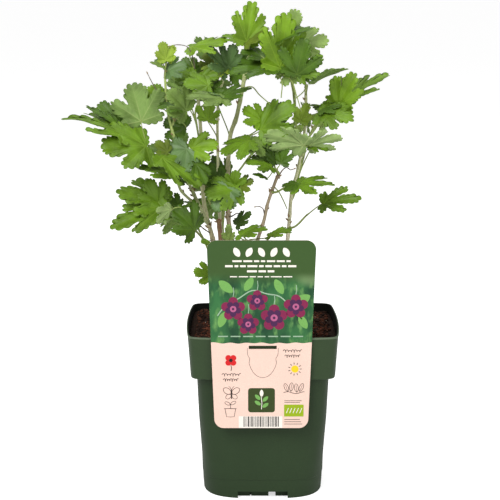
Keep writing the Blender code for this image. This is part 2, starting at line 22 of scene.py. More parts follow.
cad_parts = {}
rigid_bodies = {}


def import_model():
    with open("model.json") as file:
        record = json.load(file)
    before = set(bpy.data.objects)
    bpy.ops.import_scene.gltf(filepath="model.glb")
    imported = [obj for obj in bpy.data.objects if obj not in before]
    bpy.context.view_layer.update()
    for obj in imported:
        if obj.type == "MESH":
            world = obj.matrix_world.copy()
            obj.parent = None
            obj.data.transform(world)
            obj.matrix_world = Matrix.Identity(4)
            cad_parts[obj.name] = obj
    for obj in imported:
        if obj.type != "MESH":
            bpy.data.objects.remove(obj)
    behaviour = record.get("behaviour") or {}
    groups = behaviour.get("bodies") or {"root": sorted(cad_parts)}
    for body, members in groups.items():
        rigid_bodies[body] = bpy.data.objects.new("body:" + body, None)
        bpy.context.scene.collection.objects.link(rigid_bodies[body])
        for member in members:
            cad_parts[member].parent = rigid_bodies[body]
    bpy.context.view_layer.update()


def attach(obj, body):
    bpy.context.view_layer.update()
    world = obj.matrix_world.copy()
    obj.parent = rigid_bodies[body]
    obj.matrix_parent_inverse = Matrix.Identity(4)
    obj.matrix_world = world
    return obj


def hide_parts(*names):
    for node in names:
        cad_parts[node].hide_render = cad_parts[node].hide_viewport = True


MM = 0.001
LOG = logging.getLogger("gooseberry")

Rgb = tuple[int, int, int]
Point = tuple[float, float, float]
Pair = tuple[float, float]
Faces = list[tuple[int, ...]]


def linear(rgb: Rgb) -> tuple[float, float, float, float]:
    """Turn an sRGB colour of 0 to 255 into Blender's linear colour.

    Args:
        rgb: Red, green and blue.

    Returns:
        The linear colour with an alpha of 1.
    """
    return (*(((c / 255 + 0.055) / 1.055) ** 2.4 if c > 10 else c / 3295 for c in rgb), 1.0)


class Graph:
    """Short calls that add nodes to a material or a shared group."""

    def __init__(self, tree: bpy.types.NodeTree) -> None:
        """Keep the node tree that the calls add to."""
        self.tree = tree

    def add(self, kind: str, settings: dict | None = None, **inputs: object) -> bpy.types.Node:
        """Add a node.

        Args:
            kind: Blender's name for the type of node.
            settings: Properties to set on the node.
            inputs: Values or sockets for its inputs, with spaces written as underscores.

        Returns:
            The new node.
        """
        node = self.tree.nodes.new(kind)
        for name, value in (settings or {}).items():
            setattr(node, name, value)
        for name, value in inputs.items():
            self.put(node.inputs[name.replace("_", " ")], value)
        return node

    def put(self, socket: bpy.types.NodeSocket, value: object) -> None:
        """Link a socket to another one, or set its value."""
        if isinstance(value, bpy.types.NodeSocket):
            self.tree.links.new(value, socket)
        else:
            socket.default_value = value

    def math(self, operation: str, *values: object) -> bpy.types.NodeSocket:
        """Add a Math node with its values in order, and return what it puts out."""
        node = self.tree.nodes.new("ShaderNodeMath")
        node.operation = operation
        for socket, value in zip(node.inputs, values):
            self.put(socket, value)
        return node.outputs[0]

    def between(self, value: object, low: float, high: float) -> bpy.types.NodeSocket:
        """Map a value smoothly from low to high onto 0 to 1, and return the result."""
        node = self.add("ShaderNodeMapRange", {"interpolation_type": "SMOOTHSTEP"}, Value=value,
                        From_Min=low, From_Max=high)
        return node.outputs[0]

    def mix(self, share: object, first: object, second: object) -> bpy.types.NodeSocket:
        """Mix two colours, and return the result."""
        node = self.tree.nodes.new("ShaderNodeMix")
        node.data_type = "RGBA"
        for index, value in ((0, share), (6, first), (7, second)):
            self.put(node.inputs[index], value)
        return node.outputs[2]

    def noise(self, place: object, scale: float, detail: float) -> bpy.types.NodeSocket:
        """Add a noise texture, and return its value."""
        node = self.add("ShaderNodeTexNoise", Vector=place, Scale=scale, Detail=detail)
        return node.outputs["Fac"]


class SharedGroups:
    """Node groups that more than one material uses, each built once."""

    RIB_TAPER, RIB_EDGE = 1.25, (0.2, 1.0)
    SIDE_VEINS, SIDE_LEAN, SIDE_EDGE, SIDE_SHARE = 8.0, 6.0, (0.40, 0.5), 0.55

    def __init__(self) -> None:
        """Build the groups."""
        self.grain = self._grain()
        self.veins = self._veins()

    @staticmethod
    def _start(name: str, numbers: str, vectors: str, results: str) -> tuple[Graph, dict, dict]:
        """Start a shader node group.

        Args:
            name: The group's name.
            numbers: Names of the inputs that are numbers, with commas between them.
            vectors: Names of the inputs that are vectors.
            results: Names of the outputs, which are numbers.

        Returns:
            The graph of the group, its input sockets and its output sockets by name.
        """
        tree = bpy.data.node_groups.new(name, "ShaderNodeTree")
        sockets = ((vectors, "INPUT", "NodeSocketVector"), (numbers, "INPUT", "NodeSocketFloat"),
                   (results, "OUTPUT", "NodeSocketFloat"))
        for names, way, kind in sockets:
            for label in names.split(","):
                tree.interface.new_socket(name=label, in_out=way, socket_type=kind)
        start, end = tree.nodes.new("NodeGroupInput"), tree.nodes.new("NodeGroupOutput")
        return Graph(tree), dict(start.outputs.items()), dict(end.inputs.items())

    def _grain(self) -> bpy.types.NodeTree:
        """Build the group of uneven colour and fine relief, and return it."""
        graph, start, end = self._start("grain", "Patch Scale,Grain Scale", "Place,Stretch", "Patch,Grain")
        drawn = graph.add("ShaderNodeVectorMath", {"operation": "MULTIPLY"})
        graph.put(drawn.inputs[0], start["Place"])
        graph.put(drawn.inputs[1], start["Stretch"])
        patch = graph.noise(drawn.outputs[0], start["Patch Scale"], 3.0)
        graph.put(end["Patch"], graph.between(patch, 0.3, 0.7))
        graph.put(end["Grain"], graph.noise(drawn.outputs[0], start["Grain Scale"], 4.0))
        return graph.tree

    def _veins(self) -> bpy.types.NodeTree:
        """Build the group that draws a blade's veins from its tissue attribute, and return it."""
        graph, start, end = self._start("veins", "Rib Width", "Tissue", "Vein,Swell")
        off, along, size = graph.add("ShaderNodeSeparateXYZ", Vector=start["Tissue"]).outputs
        taper = graph.math("SUBTRACT", self.RIB_TAPER, along)
        width = graph.math("MULTIPLY", start["Rib Width"], taper)
        rib = graph.math("SUBTRACT", 1.0, graph.between(graph.math("DIVIDE", off, width), *self.RIB_EDGE))
        lean = graph.math("MULTIPLY", off, self.SIDE_LEAN)
        row = graph.math("SUBTRACT", graph.math("MULTIPLY", along, self.SIDE_VEINS), lean)
        row = graph.math("FRACT", row)
        crest = graph.math("ABSOLUTE", graph.math("SUBTRACT", row, 0.5))
        side = graph.math("MULTIPLY", graph.between(crest, *self.SIDE_EDGE), self.SIDE_SHARE)
        vein = graph.math("MAXIMUM", rib, side)
        graph.put(end["Vein"], vein)
        graph.put(end["Swell"], graph.math("MULTIPLY", graph.math("SUBTRACT", 1.0, vein), size))
        return graph.tree


class Material(Graph):
    """A Principled material, and the calls that dress it."""

    def __init__(self, name: str) -> None:
        """Start the material."""
        self.made = bpy.data.materials.new(name)
        self.made.use_nodes = True
        self.shader = self.made.node_tree.nodes["Principled BSDF"]
        super().__init__(self.made.node_tree)

    @cached_property
    def place(self) -> bpy.types.NodeSocket:
        """The place of each point, in metres."""
        return self.add("ShaderNodeTexCoord").outputs["Object"]

    def height(self) -> bpy.types.NodeSocket:
        """Return the height of each point."""
        return self.add("ShaderNodeSeparateXYZ", Vector=self.place).outputs[2]

    def group(self, tree: bpy.types.NodeTree, **inputs: object) -> list[bpy.types.NodeSocket]:
        """Place a shared group, set its inputs and return its outputs."""
        return list(self.add("ShaderNodeGroup", {"node_tree": tree}, **inputs).outputs)

    def grain(self, groups: SharedGroups, patch: float, fine: float,
              stretch: Point = (1.0, 1.0, 1.0)) -> list[bpy.types.NodeSocket]:
        """Place the grain at two scales, and return its patches and its fine relief."""
        return self.group(groups.grain, Place=self.place, Patch_Scale=patch, Grain_Scale=fine,
                          Stretch=stretch)

    def dress(self, colour: object, roughness: float, specular: float = 0.5,
              relief: tuple[object, float, float] | None = None) -> bpy.types.Material:
        """Set the finish.

        Args:
            colour: The base colour, or the socket that puts it out.
            roughness: How rough the surface is.
            specular: How strongly it reflects.
            relief: The socket of its height, the strength of its bump and the bump's depth in millimetres.

        Returns:
            The material.
        """
        self.put(self.shader.inputs["Base Color"], colour)
        self.put(self.shader.inputs["Roughness"], roughness)
        self.put(self.shader.inputs["Specular IOR Level"], specular)
        if relief:
            height, strength, depth = relief
            bump = self.add("ShaderNodeBump", Height=height, Strength=strength, Distance=depth * MM)
            self.put(self.shader.inputs["Normal"], bump.outputs[0])
        return self.made


def shade(colour: tuple, factor: float) -> tuple:
    """Return a linear colour made lighter or darker by a factor."""
    return (*(min(1.0, c * factor) for c in colour[:3]), 1.0)


@dataclass(frozen=True)
class Surface:
    """A plain surface with uneven colour and fine relief."""

    DARK_SPOTS, DARK, BUMP_DEPTH = (0.35, 0.65), 0.9, 0.4
    name: str
    rgb: Rgb
    roughness: float
    uneven: float = 0.12
    patch_scale: float = 60.0
    grain_scale: float = 900.0
    relief: float = 0.08
    stretch: Point = (1.0, 1.0, 1.0)
    specular: float = 0.5

    def material(self, groups: SharedGroups) -> bpy.types.Material:
        """Build the material.

        Args:
            groups: The shared node groups.

        Returns:
            The new material.
        """
        look = Material(self.name)
        patch, grain = look.grain(groups, self.patch_scale, self.grain_scale, self.stretch)
        base = linear(self.rgb)
        colour = look.mix(patch, shade(base, 1 - self.uneven), shade(base, 1 + self.uneven))
        fine = look.mix(look.between(grain, *self.DARK_SPOTS), shade(base, self.DARK), colour)
        return look.dress(fine, self.roughness, self.specular, (grain, self.relief, self.BUMP_DEPTH))


@dataclass(frozen=True)
class Bark:
    """Bark that changes from old wood at the foot to young green at the tip."""

    WANDER, SCALES = 24.0, (260.0, 2600.0, (1.0, 1.0, 0.16))
    STREAKS, OLD_STREAK, YOUNG_STREAK, BUMP = (0.42, 0.62), 0.62, 0.74, (0.5, 0.3)
    name: str
    old: Rgb
    young: Rgb
    turns_from: float
    turns_to: float
    relief: float = 0.10
    roughness: float = 0.7

    def material(self, groups: SharedGroups) -> bpy.types.Material:
        """Build the material, with streaks that run up the limb.

        Args:
            groups: The shared node groups.

        Returns:
            The new material.
        """
        look = Material(self.name)
        patch, grain = look.grain(groups, *self.SCALES)
        wander = look.math("MULTIPLY", look.math("SUBTRACT", patch, 0.5), self.WANDER * MM)
        height = look.math("ADD", look.height(), wander)
        age = look.between(height, self.turns_from * MM, self.turns_to * MM)
        old, young = linear(self.old), linear(self.young)
        dark = look.mix(age, shade(old, self.OLD_STREAK), shade(young, self.YOUNG_STREAK))
        colour = look.mix(look.between(grain, *self.STREAKS), dark, look.mix(age, old, young))
        return look.dress(colour, self.roughness, relief=(grain, *self.BUMP))


@dataclass(frozen=True)
class Tissue:
    """One side of a blade: its colour, its paler veins and the swelling between them."""

    MOTTLING, SCALES, GRAIN_SHARE, BUMP = (0.76, 1.26), (70.0, 1100.0), 0.25, (0.35, 0.5)
    name: str
    rgb: Rgb
    vein_rgb: Rgb
    vein_share: float
    roughness: float
    rib_width: float = 0.016
    specular: float = 0.26

    def material(self, groups: SharedGroups) -> bpy.types.Material:
        """Build the material.

        Args:
            groups: The shared node groups.

        Returns:
            The new material.
        """
        look = Material(self.name)
        tissue = look.add("ShaderNodeAttribute", {"attribute_name": Blade.ATTRIBUTE}).outputs["Vector"]
        vein, swell = look.group(groups.veins, Tissue=tissue, Rib_Width=self.rib_width)
        patch, grain = look.grain(groups, *self.SCALES)
        base = linear(self.rgb)
        green = look.mix(patch, *(shade(base, factor) for factor in self.MOTTLING))
        colour = look.mix(look.math("MULTIPLY", vein, self.vein_share), green, linear(self.vein_rgb))
        height = look.math("ADD", swell, look.math("MULTIPLY", grain, self.GRAIN_SHARE))
        return look.dress(colour, self.roughness, self.specular, (height, *self.BUMP))


class Tint(Enum):
    """Upper and under colour of a blade, as sRGB, and how rough its upper side is."""

    MID = ((92, 124, 26), (110, 138, 66), 0.46)
    DARK = ((68, 98, 20), (94, 122, 54), 0.44)
    BRIGHT = ((104, 138, 24), (124, 150, 70), 0.48)
    YOUNG = ((134, 160, 50), (148, 172, 82), 0.5)
    OLIVE = ((88, 106, 28), (106, 128, 58), 0.48)
    BLUE = ((88, 116, 66), (102, 128, 80), 0.40)
    GREY = ((98, 122, 54), (108, 134, 68), 0.5)
    PALE = ((124, 150, 76), (138, 162, 98), 0.52)
    DEEP = ((50, 74, 16), (80, 104, 46), 0.44)


class Look(Enum):
    """The way that the upper side of a blade looks."""

    FRONT = (0.0, -0.75, 0.65)
    OPEN = (0.0, -0.35, 0.94)
    EDGE = (0.0, 0.2, 0.98)
    UNDER = (0.0, 0.75, 0.66)
    BACK = (0.0, 0.6, 0.8)


class Form(Enum):
    """One half of a blade's outline without its teeth, as (degrees from the tip, reach)."""

    BROAD = ((0, 1.0), (8, 0.985), (14, 0.93), (18, 0.86), (21, 0.74), (24, 0.56), (27, 0.60), (30, 0.76),
             (35, 0.87), (42, 0.89), (50, 0.83), (57, 0.72), (62, 0.58), (66, 0.46), (70, 0.48),
             (78, 0.54), (88, 0.55), (98, 0.49), (110, 0.36), (124, 0.22), (145, 0.10), (180, 0.03))
    DEEP = ((0, 1.0), (7, 0.98), (12, 0.90), (15, 0.80), (18, 0.66), (22, 0.42), (26, 0.42), (29, 0.62),
            (34, 0.80), (40, 0.85), (47, 0.80), (54, 0.66), (60, 0.46), (65, 0.34), (70, 0.36),
            (78, 0.46), (88, 0.48), (97, 0.42), (108, 0.30), (122, 0.19), (145, 0.10), (180, 0.03))
    FINGER = ((0, 1.0), (5, 0.97), (9, 0.85), (12, 0.70), (15, 0.52), (19, 0.34), (24, 0.34), (28, 0.52),
              (32, 0.72), (37, 0.80), (43, 0.72), (49, 0.52), (55, 0.34), (62, 0.26), (70, 0.30),
              (80, 0.40), (90, 0.36), (104, 0.23), (124, 0.14), (150, 0.08), (180, 0.03))
    YOUNG = ((0, 1.0), (9, 0.98), (17, 0.92), (23, 0.82), (29, 0.68), (33, 0.64), (38, 0.70), (45, 0.80),
             (54, 0.82), (63, 0.72), (70, 0.58), (78, 0.52), (88, 0.54), (98, 0.50), (112, 0.36),
             (130, 0.20), (155, 0.10), (180, 0.04))


MID, DARK, BRIGHT, YOUNG, OLIVE, BLUE, GREY, PALE, DEEP = Tint
FRONT, OPEN, EDGE, UNDER, BACK = Look


@dataclass(frozen=True)
class Limb:
    """A stem from a place on the soil, or a bough from its parent at a height."""

    name: str
    points: tuple[tuple, ...]
    radii: tuple[float, float]
    bark: str
    parent: str = ""
    height: float = 0.0


@dataclass(frozen=True)
class Leaf:
    """A blade from where its stalk ends to the tip of its middle lobe."""

    base: Point
    tip: Point
    tint: Tint = MID
    look: Look = FRONT
    width: float = 1.0
    form: Form = Form.BROAD


@dataclass(frozen=True)
class Spray:
    """The leaves of one twig, either listed or drawn round an aim, where the turns in `bare` have none."""

    name: str
    limb: str
    height: float | None
    leaves: tuple[Leaf, ...] = ()
    aim: tuple[float, ...] = ()
    count: int = 0
    blade: float = 0.0
    bare: tuple[int, ...] = ()


class Builder:
    """Gathers many small shapes and makes one piece of them."""

    def __init__(self) -> None:
        """Start with no points and no faces."""
        self.points: list[np.ndarray] = []
        self.faces: Faces = []
        self.slots: list[int] = []
        self.values: list[np.ndarray] = []
        self.count = 0

    def add(self, points: np.ndarray, faces: Faces, slot: int = 0,
            values: np.ndarray | None = None) -> None:
        """Add a shape.

        Args:
            points: Its points in millimetres, one row each.
            faces: Corner numbers of each face.
            slot: Which of the piece's materials it takes.
            values: The blade attribute at each point, if it has one.
        """
        start = self.count
        self.points.append(points)
        self.faces.extend(tuple(start + corner for corner in face) for face in faces)
        self.slots.extend([slot] * len(faces))
        self.values.append(np.zeros((len(points), 3)) if values is None else values)
        self.count += len(points)

    def plain(self, name: str) -> bpy.types.Object:
        """Make an object that isn't a piece yet, and return it."""
        mesh = bpy.data.meshes.new(name)
        mesh.from_pydata((np.vstack(self.points) * MM).tolist(), [], self.faces)
        made = bpy.data.objects.new(name, mesh)
        bpy.context.scene.collection.objects.link(made)
        return made

    def piece(self, name: str, materials: list[bpy.types.Material], record_slot: str,
              nodes: tuple[str, ...] = ()) -> bpy.types.Object:
        """Make the piece.

        Args:
            name: The object's name.
            materials: Its materials, in the order of the slots.
            record_slot: The name of a slot in the record; not used.
            nodes: The solids that it stands for.

        Returns:
            The new object.
        """
        made = self.plain(name)
        mesh = made.data
        mesh.polygons.foreach_set("material_index", self.slots)
        values = mesh.attributes.new(Blade.ATTRIBUTE, "FLOAT_VECTOR", "POINT")
        values.data.foreach_set("vector", np.vstack(self.values).astype(np.float32).ravel())
        for material in materials:
            mesh.materials.append(material)
        mesh.shade_smooth()
        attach(made, "root")
        if nodes:
            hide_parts(*nodes)
        LOG.info("%s: %d faces", name, len(self.faces))
        return made


def rows_of(count: int, rings: int, start: int = 0) -> Faces:
    """Return the faces between rings of the same number of points."""
    faces = []
    for ring in range(rings - 1):
        for k in range(count):
            here, beside = start + ring * count + k, start + ring * count + (k + 1) % count
            faces.append((here, beside, beside + count, here + count))
    return faces


def lofted(rings: list[np.ndarray]) -> tuple[np.ndarray, Faces]:
    """Close a shape through rings of points.

    Args:
        rings: Rings with the same number of points each.

    Returns:
        The points and the faces, capped at both ends.
    """
    count = len(rings[0])
    faces = rows_of(count, len(rings))
    faces.append(tuple(reversed(range(count))))
    faces.append(tuple(range(count * (len(rings) - 1), count * len(rings))))
    return np.vstack(rings), faces


def swept(path: list[Vector], radii: np.ndarray, sides: int) -> tuple[np.ndarray, Faces]:
    """Sweep a round section along a path.

    Args:
        path: The points of the axis.
        radii: One radius for each point, or one for each point and side.
        sides: The number of sides.

    Returns:
        The points and the faces of the closed tube.
    """
    turns = np.arange(sides) * 2 * math.pi / sides
    radii = np.broadcast_to(np.reshape(radii, (len(path), -1)), (len(path), sides))
    rings, across = [], None
    for i, point in enumerate(path):
        ahead = (path[min(i + 1, len(path) - 1)] - path[max(i - 1, 0)]).normalized()
        across = across or ahead.orthogonal()
        across = (across - ahead * across.dot(ahead)).normalized()
        other = ahead.cross(across)
        ring = np.outer(np.cos(turns), across) + np.outer(np.sin(turns), other)
        rings.append(np.array(point) + ring * radii[i][:, None])
    return lofted(rings)


def smooth_path(points: list[Vector], step: float) -> list[Vector]:
    """Return points about a step apart on a Catmull-Rom curve through the given ones."""
    ends = [2 * points[0] - points[1], *points, 2 * points[-1] - points[-2]]
    path = []
    for a, b, c, d in zip(ends, ends[1:], ends[2:], ends[3:]):
        pieces = max(1, round((c - b).length / step))
        for k in range(pieces):
            t = k / pieces
            path.append(0.5 * (2 * b + (c - a) * t + (2 * a - 5 * b + 4 * c - d) * t * t
                               + (3 * b - a - 3 * c + d) * t ** 3))
    path.append(points[-1].copy())
    return path


def curve_points(start: Vector, lead: Vector, follow: Vector, end: Vector, pieces: int) -> list[Vector]:
    """Return points on a cubic curve from start to end, shaped by its two handles."""
    found = []
    for k in range(pieces + 1):
        t = k / pieces
        found.append(start * (1 - t) ** 3 + lead * 3 * t * (1 - t) ** 2
                     + follow * 3 * t * t * (1 - t) + end * t ** 3)
    return found


def around(ahead: Vector, turn: float) -> Vector:
    """Return the direction straight out from an axis, at a turn about it."""
    across = ahead.orthogonal().normalized()
    return across * math.cos(turn) + ahead.cross(across) * math.sin(turn)


def wobble(place: tuple[float, ...]) -> float:
    """Return smooth noise of -1 to 1 at a place."""
    return noise.noise(Vector(place))


class Blade:
    """The mesh of one lobed blade with rounded teeth."""

    ATTRIBUTE = "tissue"
    SAMPLES, BLUR_REACH, BLUR = 1440, 9, 4.5
    PLAIN_TIP, WARP, WARP_PITCH, UNEVEN, UNEVEN_PITCH = 30, 0.10, 1.3, 0.08, 1.7
    TOOTH_WIDTHS, TOOTH_POINTS, TOOTH_DEPTH = (0.10, 0.21), 6, 0.34
    TOOTH_PEAK, TOOTH_LEAN, TOOTH_POWER = 0.62, 1.1, 2.2
    BARE_BASE, TOOTH_FADE, SHARP_SINUS = 165, 60, 0.9
    RINGS = (0.12, 0.30, 0.50, 0.70, 0.88, 1.0)
    TOOTHED = (0.0, 0.0, 0.05, 0.3, 0.65, 1.0)
    RIB_AIMS = (0, 40, 86)
    THICKNESS, RIM_SHARE = 0.28, 0.35
    RIB_DEPTH, RIB_HALF, GROOVE = 0.5, 0.018, 0.10
    VALLEY, VALLEY_HALF = 0.34, 0.12
    RUFFLE, RUFFLE_PITCH = 0.07, 3.2
    ARCH, FOLD, TWIST = (0.10, 0.30), (-0.10, 0.22), (-0.2, 0.2)
    STALK_AT, STALK_SINK = 0.03, 0.6
    USUAL_LENGTH = 40

    def __init__(self, leaf: Leaf, rng: random.Random) -> None:
        """Draw the blade's bends and work out its outline.

        Args:
            leaf: Where the blade is and what it looks like.
            rng: The random numbers of this leaf.
        """
        self.base, tip = Vector(leaf.base), Vector(leaf.tip)
        self.length = (tip - self.base).length
        self.axis = (tip - self.base).normalized()
        look = Vector(leaf.look.value)
        self.normal = (look - self.axis * look.dot(self.axis)).normalized()
        self.arch = rng.uniform(*self.ARCH)
        self.fold = rng.uniform(*self.FOLD)
        self.twist = rng.uniform(*self.TWIST)
        self.seed = rng.uniform(0, 100)
        self.inner, self.outer, self.ribs = self._outline(leaf, rng)

    def _smooth_outline(self, leaf: Leaf) -> tuple[np.ndarray, np.ndarray, np.ndarray]:
        """Work out the outline without its teeth, closely spaced.

        Args:
            leaf: The blade's form and width.

        Returns:
            The turns from the tip, and the places across and along in shares of the blade's length.
        """
        turn = np.linspace(-math.pi, math.pi, self.SAMPLES + 1)[:-1]
        angles, reaches = np.array(leaf.form.value).T
        warp, uneven = (
            np.array([wobble((pitch * math.cos(t) + self.seed, pitch * math.sin(t), level)) for t in turn])
            for pitch, level in ((self.WARP_PITCH, 4.0), (self.UNEVEN_PITCH, 9.0)))
        plain = np.clip(np.abs(turn) / math.radians(self.PLAIN_TIP), 0, 1)
        seen = np.clip(np.degrees(np.abs(turn + warp * self.WARP * plain)), 0, 180)
        reach = np.interp(seen, angles, reaches) * (1 + self.UNEVEN * uneven * plain)
        far = self.BLUR_REACH
        kernel = np.exp(-(np.arange(-far, far + 1) / self.BLUR) ** 2)
        closed = np.concatenate([reach[-far:], reach, reach[:far]])
        reach = np.convolve(closed, kernel / kernel.sum(), "valid")
        return turn, reach * np.sin(turn) * leaf.width, reach * np.cos(turn)

    def _outline(self, leaf: Leaf, rng: random.Random) -> tuple[np.ndarray, np.ndarray, list[int]]:
        """Work out the outline with its teeth, in shares of the blade's length.

        Args:
            leaf: The blade's form and width.
            rng: The random numbers of this leaf.

        Returns:
            The smooth outline, the toothed outline and the points where ribs end.
        """
        turn, x, y = self._smooth_outline(leaf)
        steps = np.hypot(np.diff(x, append=x[0]), np.diff(y, append=y[0]))
        at = np.concatenate([[0.0], np.cumsum(steps)])
        bounds = [0.0]
        while bounds[-1] < at[-1]:
            bounds.append(bounds[-1] + rng.uniform(*self.TOOTH_WIDTHS))
        bounds = np.array(bounds) * at[-1] / bounds[-1]
        widths = np.diff(bounds).repeat(self.TOOTH_POINTS)
        phase = np.tile(np.arange(self.TOOTH_POINTS) / self.TOOTH_POINTS, len(bounds) - 1)
        wanted = bounds[:-1].repeat(self.TOOTH_POINTS) + phase * widths
        x, y = (np.interp(wanted, at, np.append(line, line[0])) for line in (x, y))
        turns = np.interp(wanted, at, np.append(turn, math.pi))
        inner = np.stack([x, y], 1)
        ahead = np.roll(inner, -2, 0) - np.roll(inner, 2, 0)
        out = np.stack([-ahead[:, 1], ahead[:, 0]], 1) / np.linalg.norm(ahead, axis=1)[:, None]
        bump = self.TOOTH_PEAK - np.abs(2 * phase - self.TOOTH_LEAN) ** self.TOOTH_POWER
        bump = bump * widths * self.TOOTH_DEPTH
        fade = np.clip((math.radians(self.BARE_BASE) - np.abs(turns)) / math.radians(self.TOOTH_FADE), 0, 1)
        before, after = np.roll(ahead, 4, 0), np.roll(ahead, -4, 0)
        bend = np.arctan2(after[:, 0] * before[:, 1] - after[:, 1] * before[:, 0], (before * after).sum(1))
        fade *= np.clip(1 + bend / self.SHARP_SINUS, 0, 1)
        outer = inner + out * (bump * fade)[:, None]
        aims = [math.radians(side * aim) for aim in self.RIB_AIMS for side in ((-1, 1) if aim else (1,))]
        ribs = [int(np.argmin(np.abs(turns - aim))) for aim in aims]
        return inner, outer, ribs

    def _rib_distance(self, flat: np.ndarray) -> tuple[np.ndarray, np.ndarray]:
        """Measure how far points are from the nearest rib, and how far along it.

        Args:
            flat: Points in shares of the blade's length.

        Returns:
            The distances from and along the nearest rib.
        """
        best = np.full(len(flat), 9.0)
        along = np.zeros(len(flat))
        for rib in self.ribs:
            end = self.outer[rib]
            aim = end / np.linalg.norm(end)
            share = flat @ aim
            off = np.abs(flat @ np.array([-aim[1], aim[0]]))
            off = np.where(share < 0, np.linalg.norm(flat, axis=1), off)
            nearer = off < best
            best = np.where(nearer, off, best)
            along = np.where(nearer, np.maximum(share, 0), along)
        return best, along

    def _rise(self, flat: np.ndarray, off: np.ndarray) -> np.ndarray:
        """Work out how high the upper side lies over the blade's plane, in shares of its length."""
        x, y = flat[:, 0], flat[:, 1]
        rise = self.arch * y * (1 - y) - self.fold * np.abs(x) + self.twist * x * (y - 0.3)
        rise += self.VALLEY * np.minimum(off, self.VALLEY_HALF) ** 2 / self.VALLEY_HALF
        far = np.hypot(x, y)
        pitch = self.RUFFLE_PITCH
        waves = [wobble((pitch * a + self.seed, pitch * b, self.seed)) for a, b in flat]
        return rise + self.RUFFLE * far ** 2 * np.array(waves)

    def foot(self) -> Vector:
        """Return where the stalk meets the middle rib, under the blade."""
        sunk = self.THICKNESS + self.RIB_DEPTH * self.STALK_SINK
        return self.base + self.axis * self.length * self.STALK_AT - self.normal * sunk

    def shape(self) -> tuple[np.ndarray, Faces, int, np.ndarray]:
        """Make the closed shape.

        Returns:
            The points, the faces, how many of the faces are the upper side's, and the attribute.
        """
        count = len(self.inner)
        flat = [np.zeros((1, 2))]
        for share, toothed in zip(self.RINGS, self.TOOTHED):
            flat.append(share * (self.inner + (self.outer - self.inner) * toothed))
        flat = np.vstack(flat)
        off, along = self._rib_distance(flat)
        rise = self._rise(flat, off)
        rib = np.exp(-(off / self.RIB_HALF) ** 2) * np.clip(1.1 - along, 0.1, 1)
        edge = np.concatenate([np.ones(len(flat) - count), np.full(count, self.RIM_SHARE)])
        deep = self.THICKNESS * edge + self.RIB_DEPTH * rib * edge
        side = self.normal.cross(self.axis)
        frame = np.array([side, self.axis, self.normal])
        upper = np.column_stack([flat, rise - self.GROOVE * rib / self.length]) * self.length
        lower = np.column_stack([flat * self.length, rise * self.length - deep])
        points = np.array(self.base) + np.vstack([upper @ frame, lower @ frame])
        rings = len(self.RINGS)
        faces = [(0, 1 + k, 1 + (k + 1) % count) for k in range(count)]
        faces += [tuple(reversed(face)) for face in rows_of(count, rings, 1)]
        upper_faces = len(faces)
        faces += [tuple(len(flat) + corner for corner in reversed(face)) for face in faces]
        rim = 1 + (rings - 1) * count
        for k in range(count):
            here, beside = rim + k, rim + (k + 1) % count
            faces.append((here, len(flat) + here, len(flat) + beside, beside))
        tissue = np.stack([off, along, np.full(len(flat), self.length / self.USUAL_LENGTH)], 1)
        return points, faces, upper_faces, np.vstack([tissue, tissue])


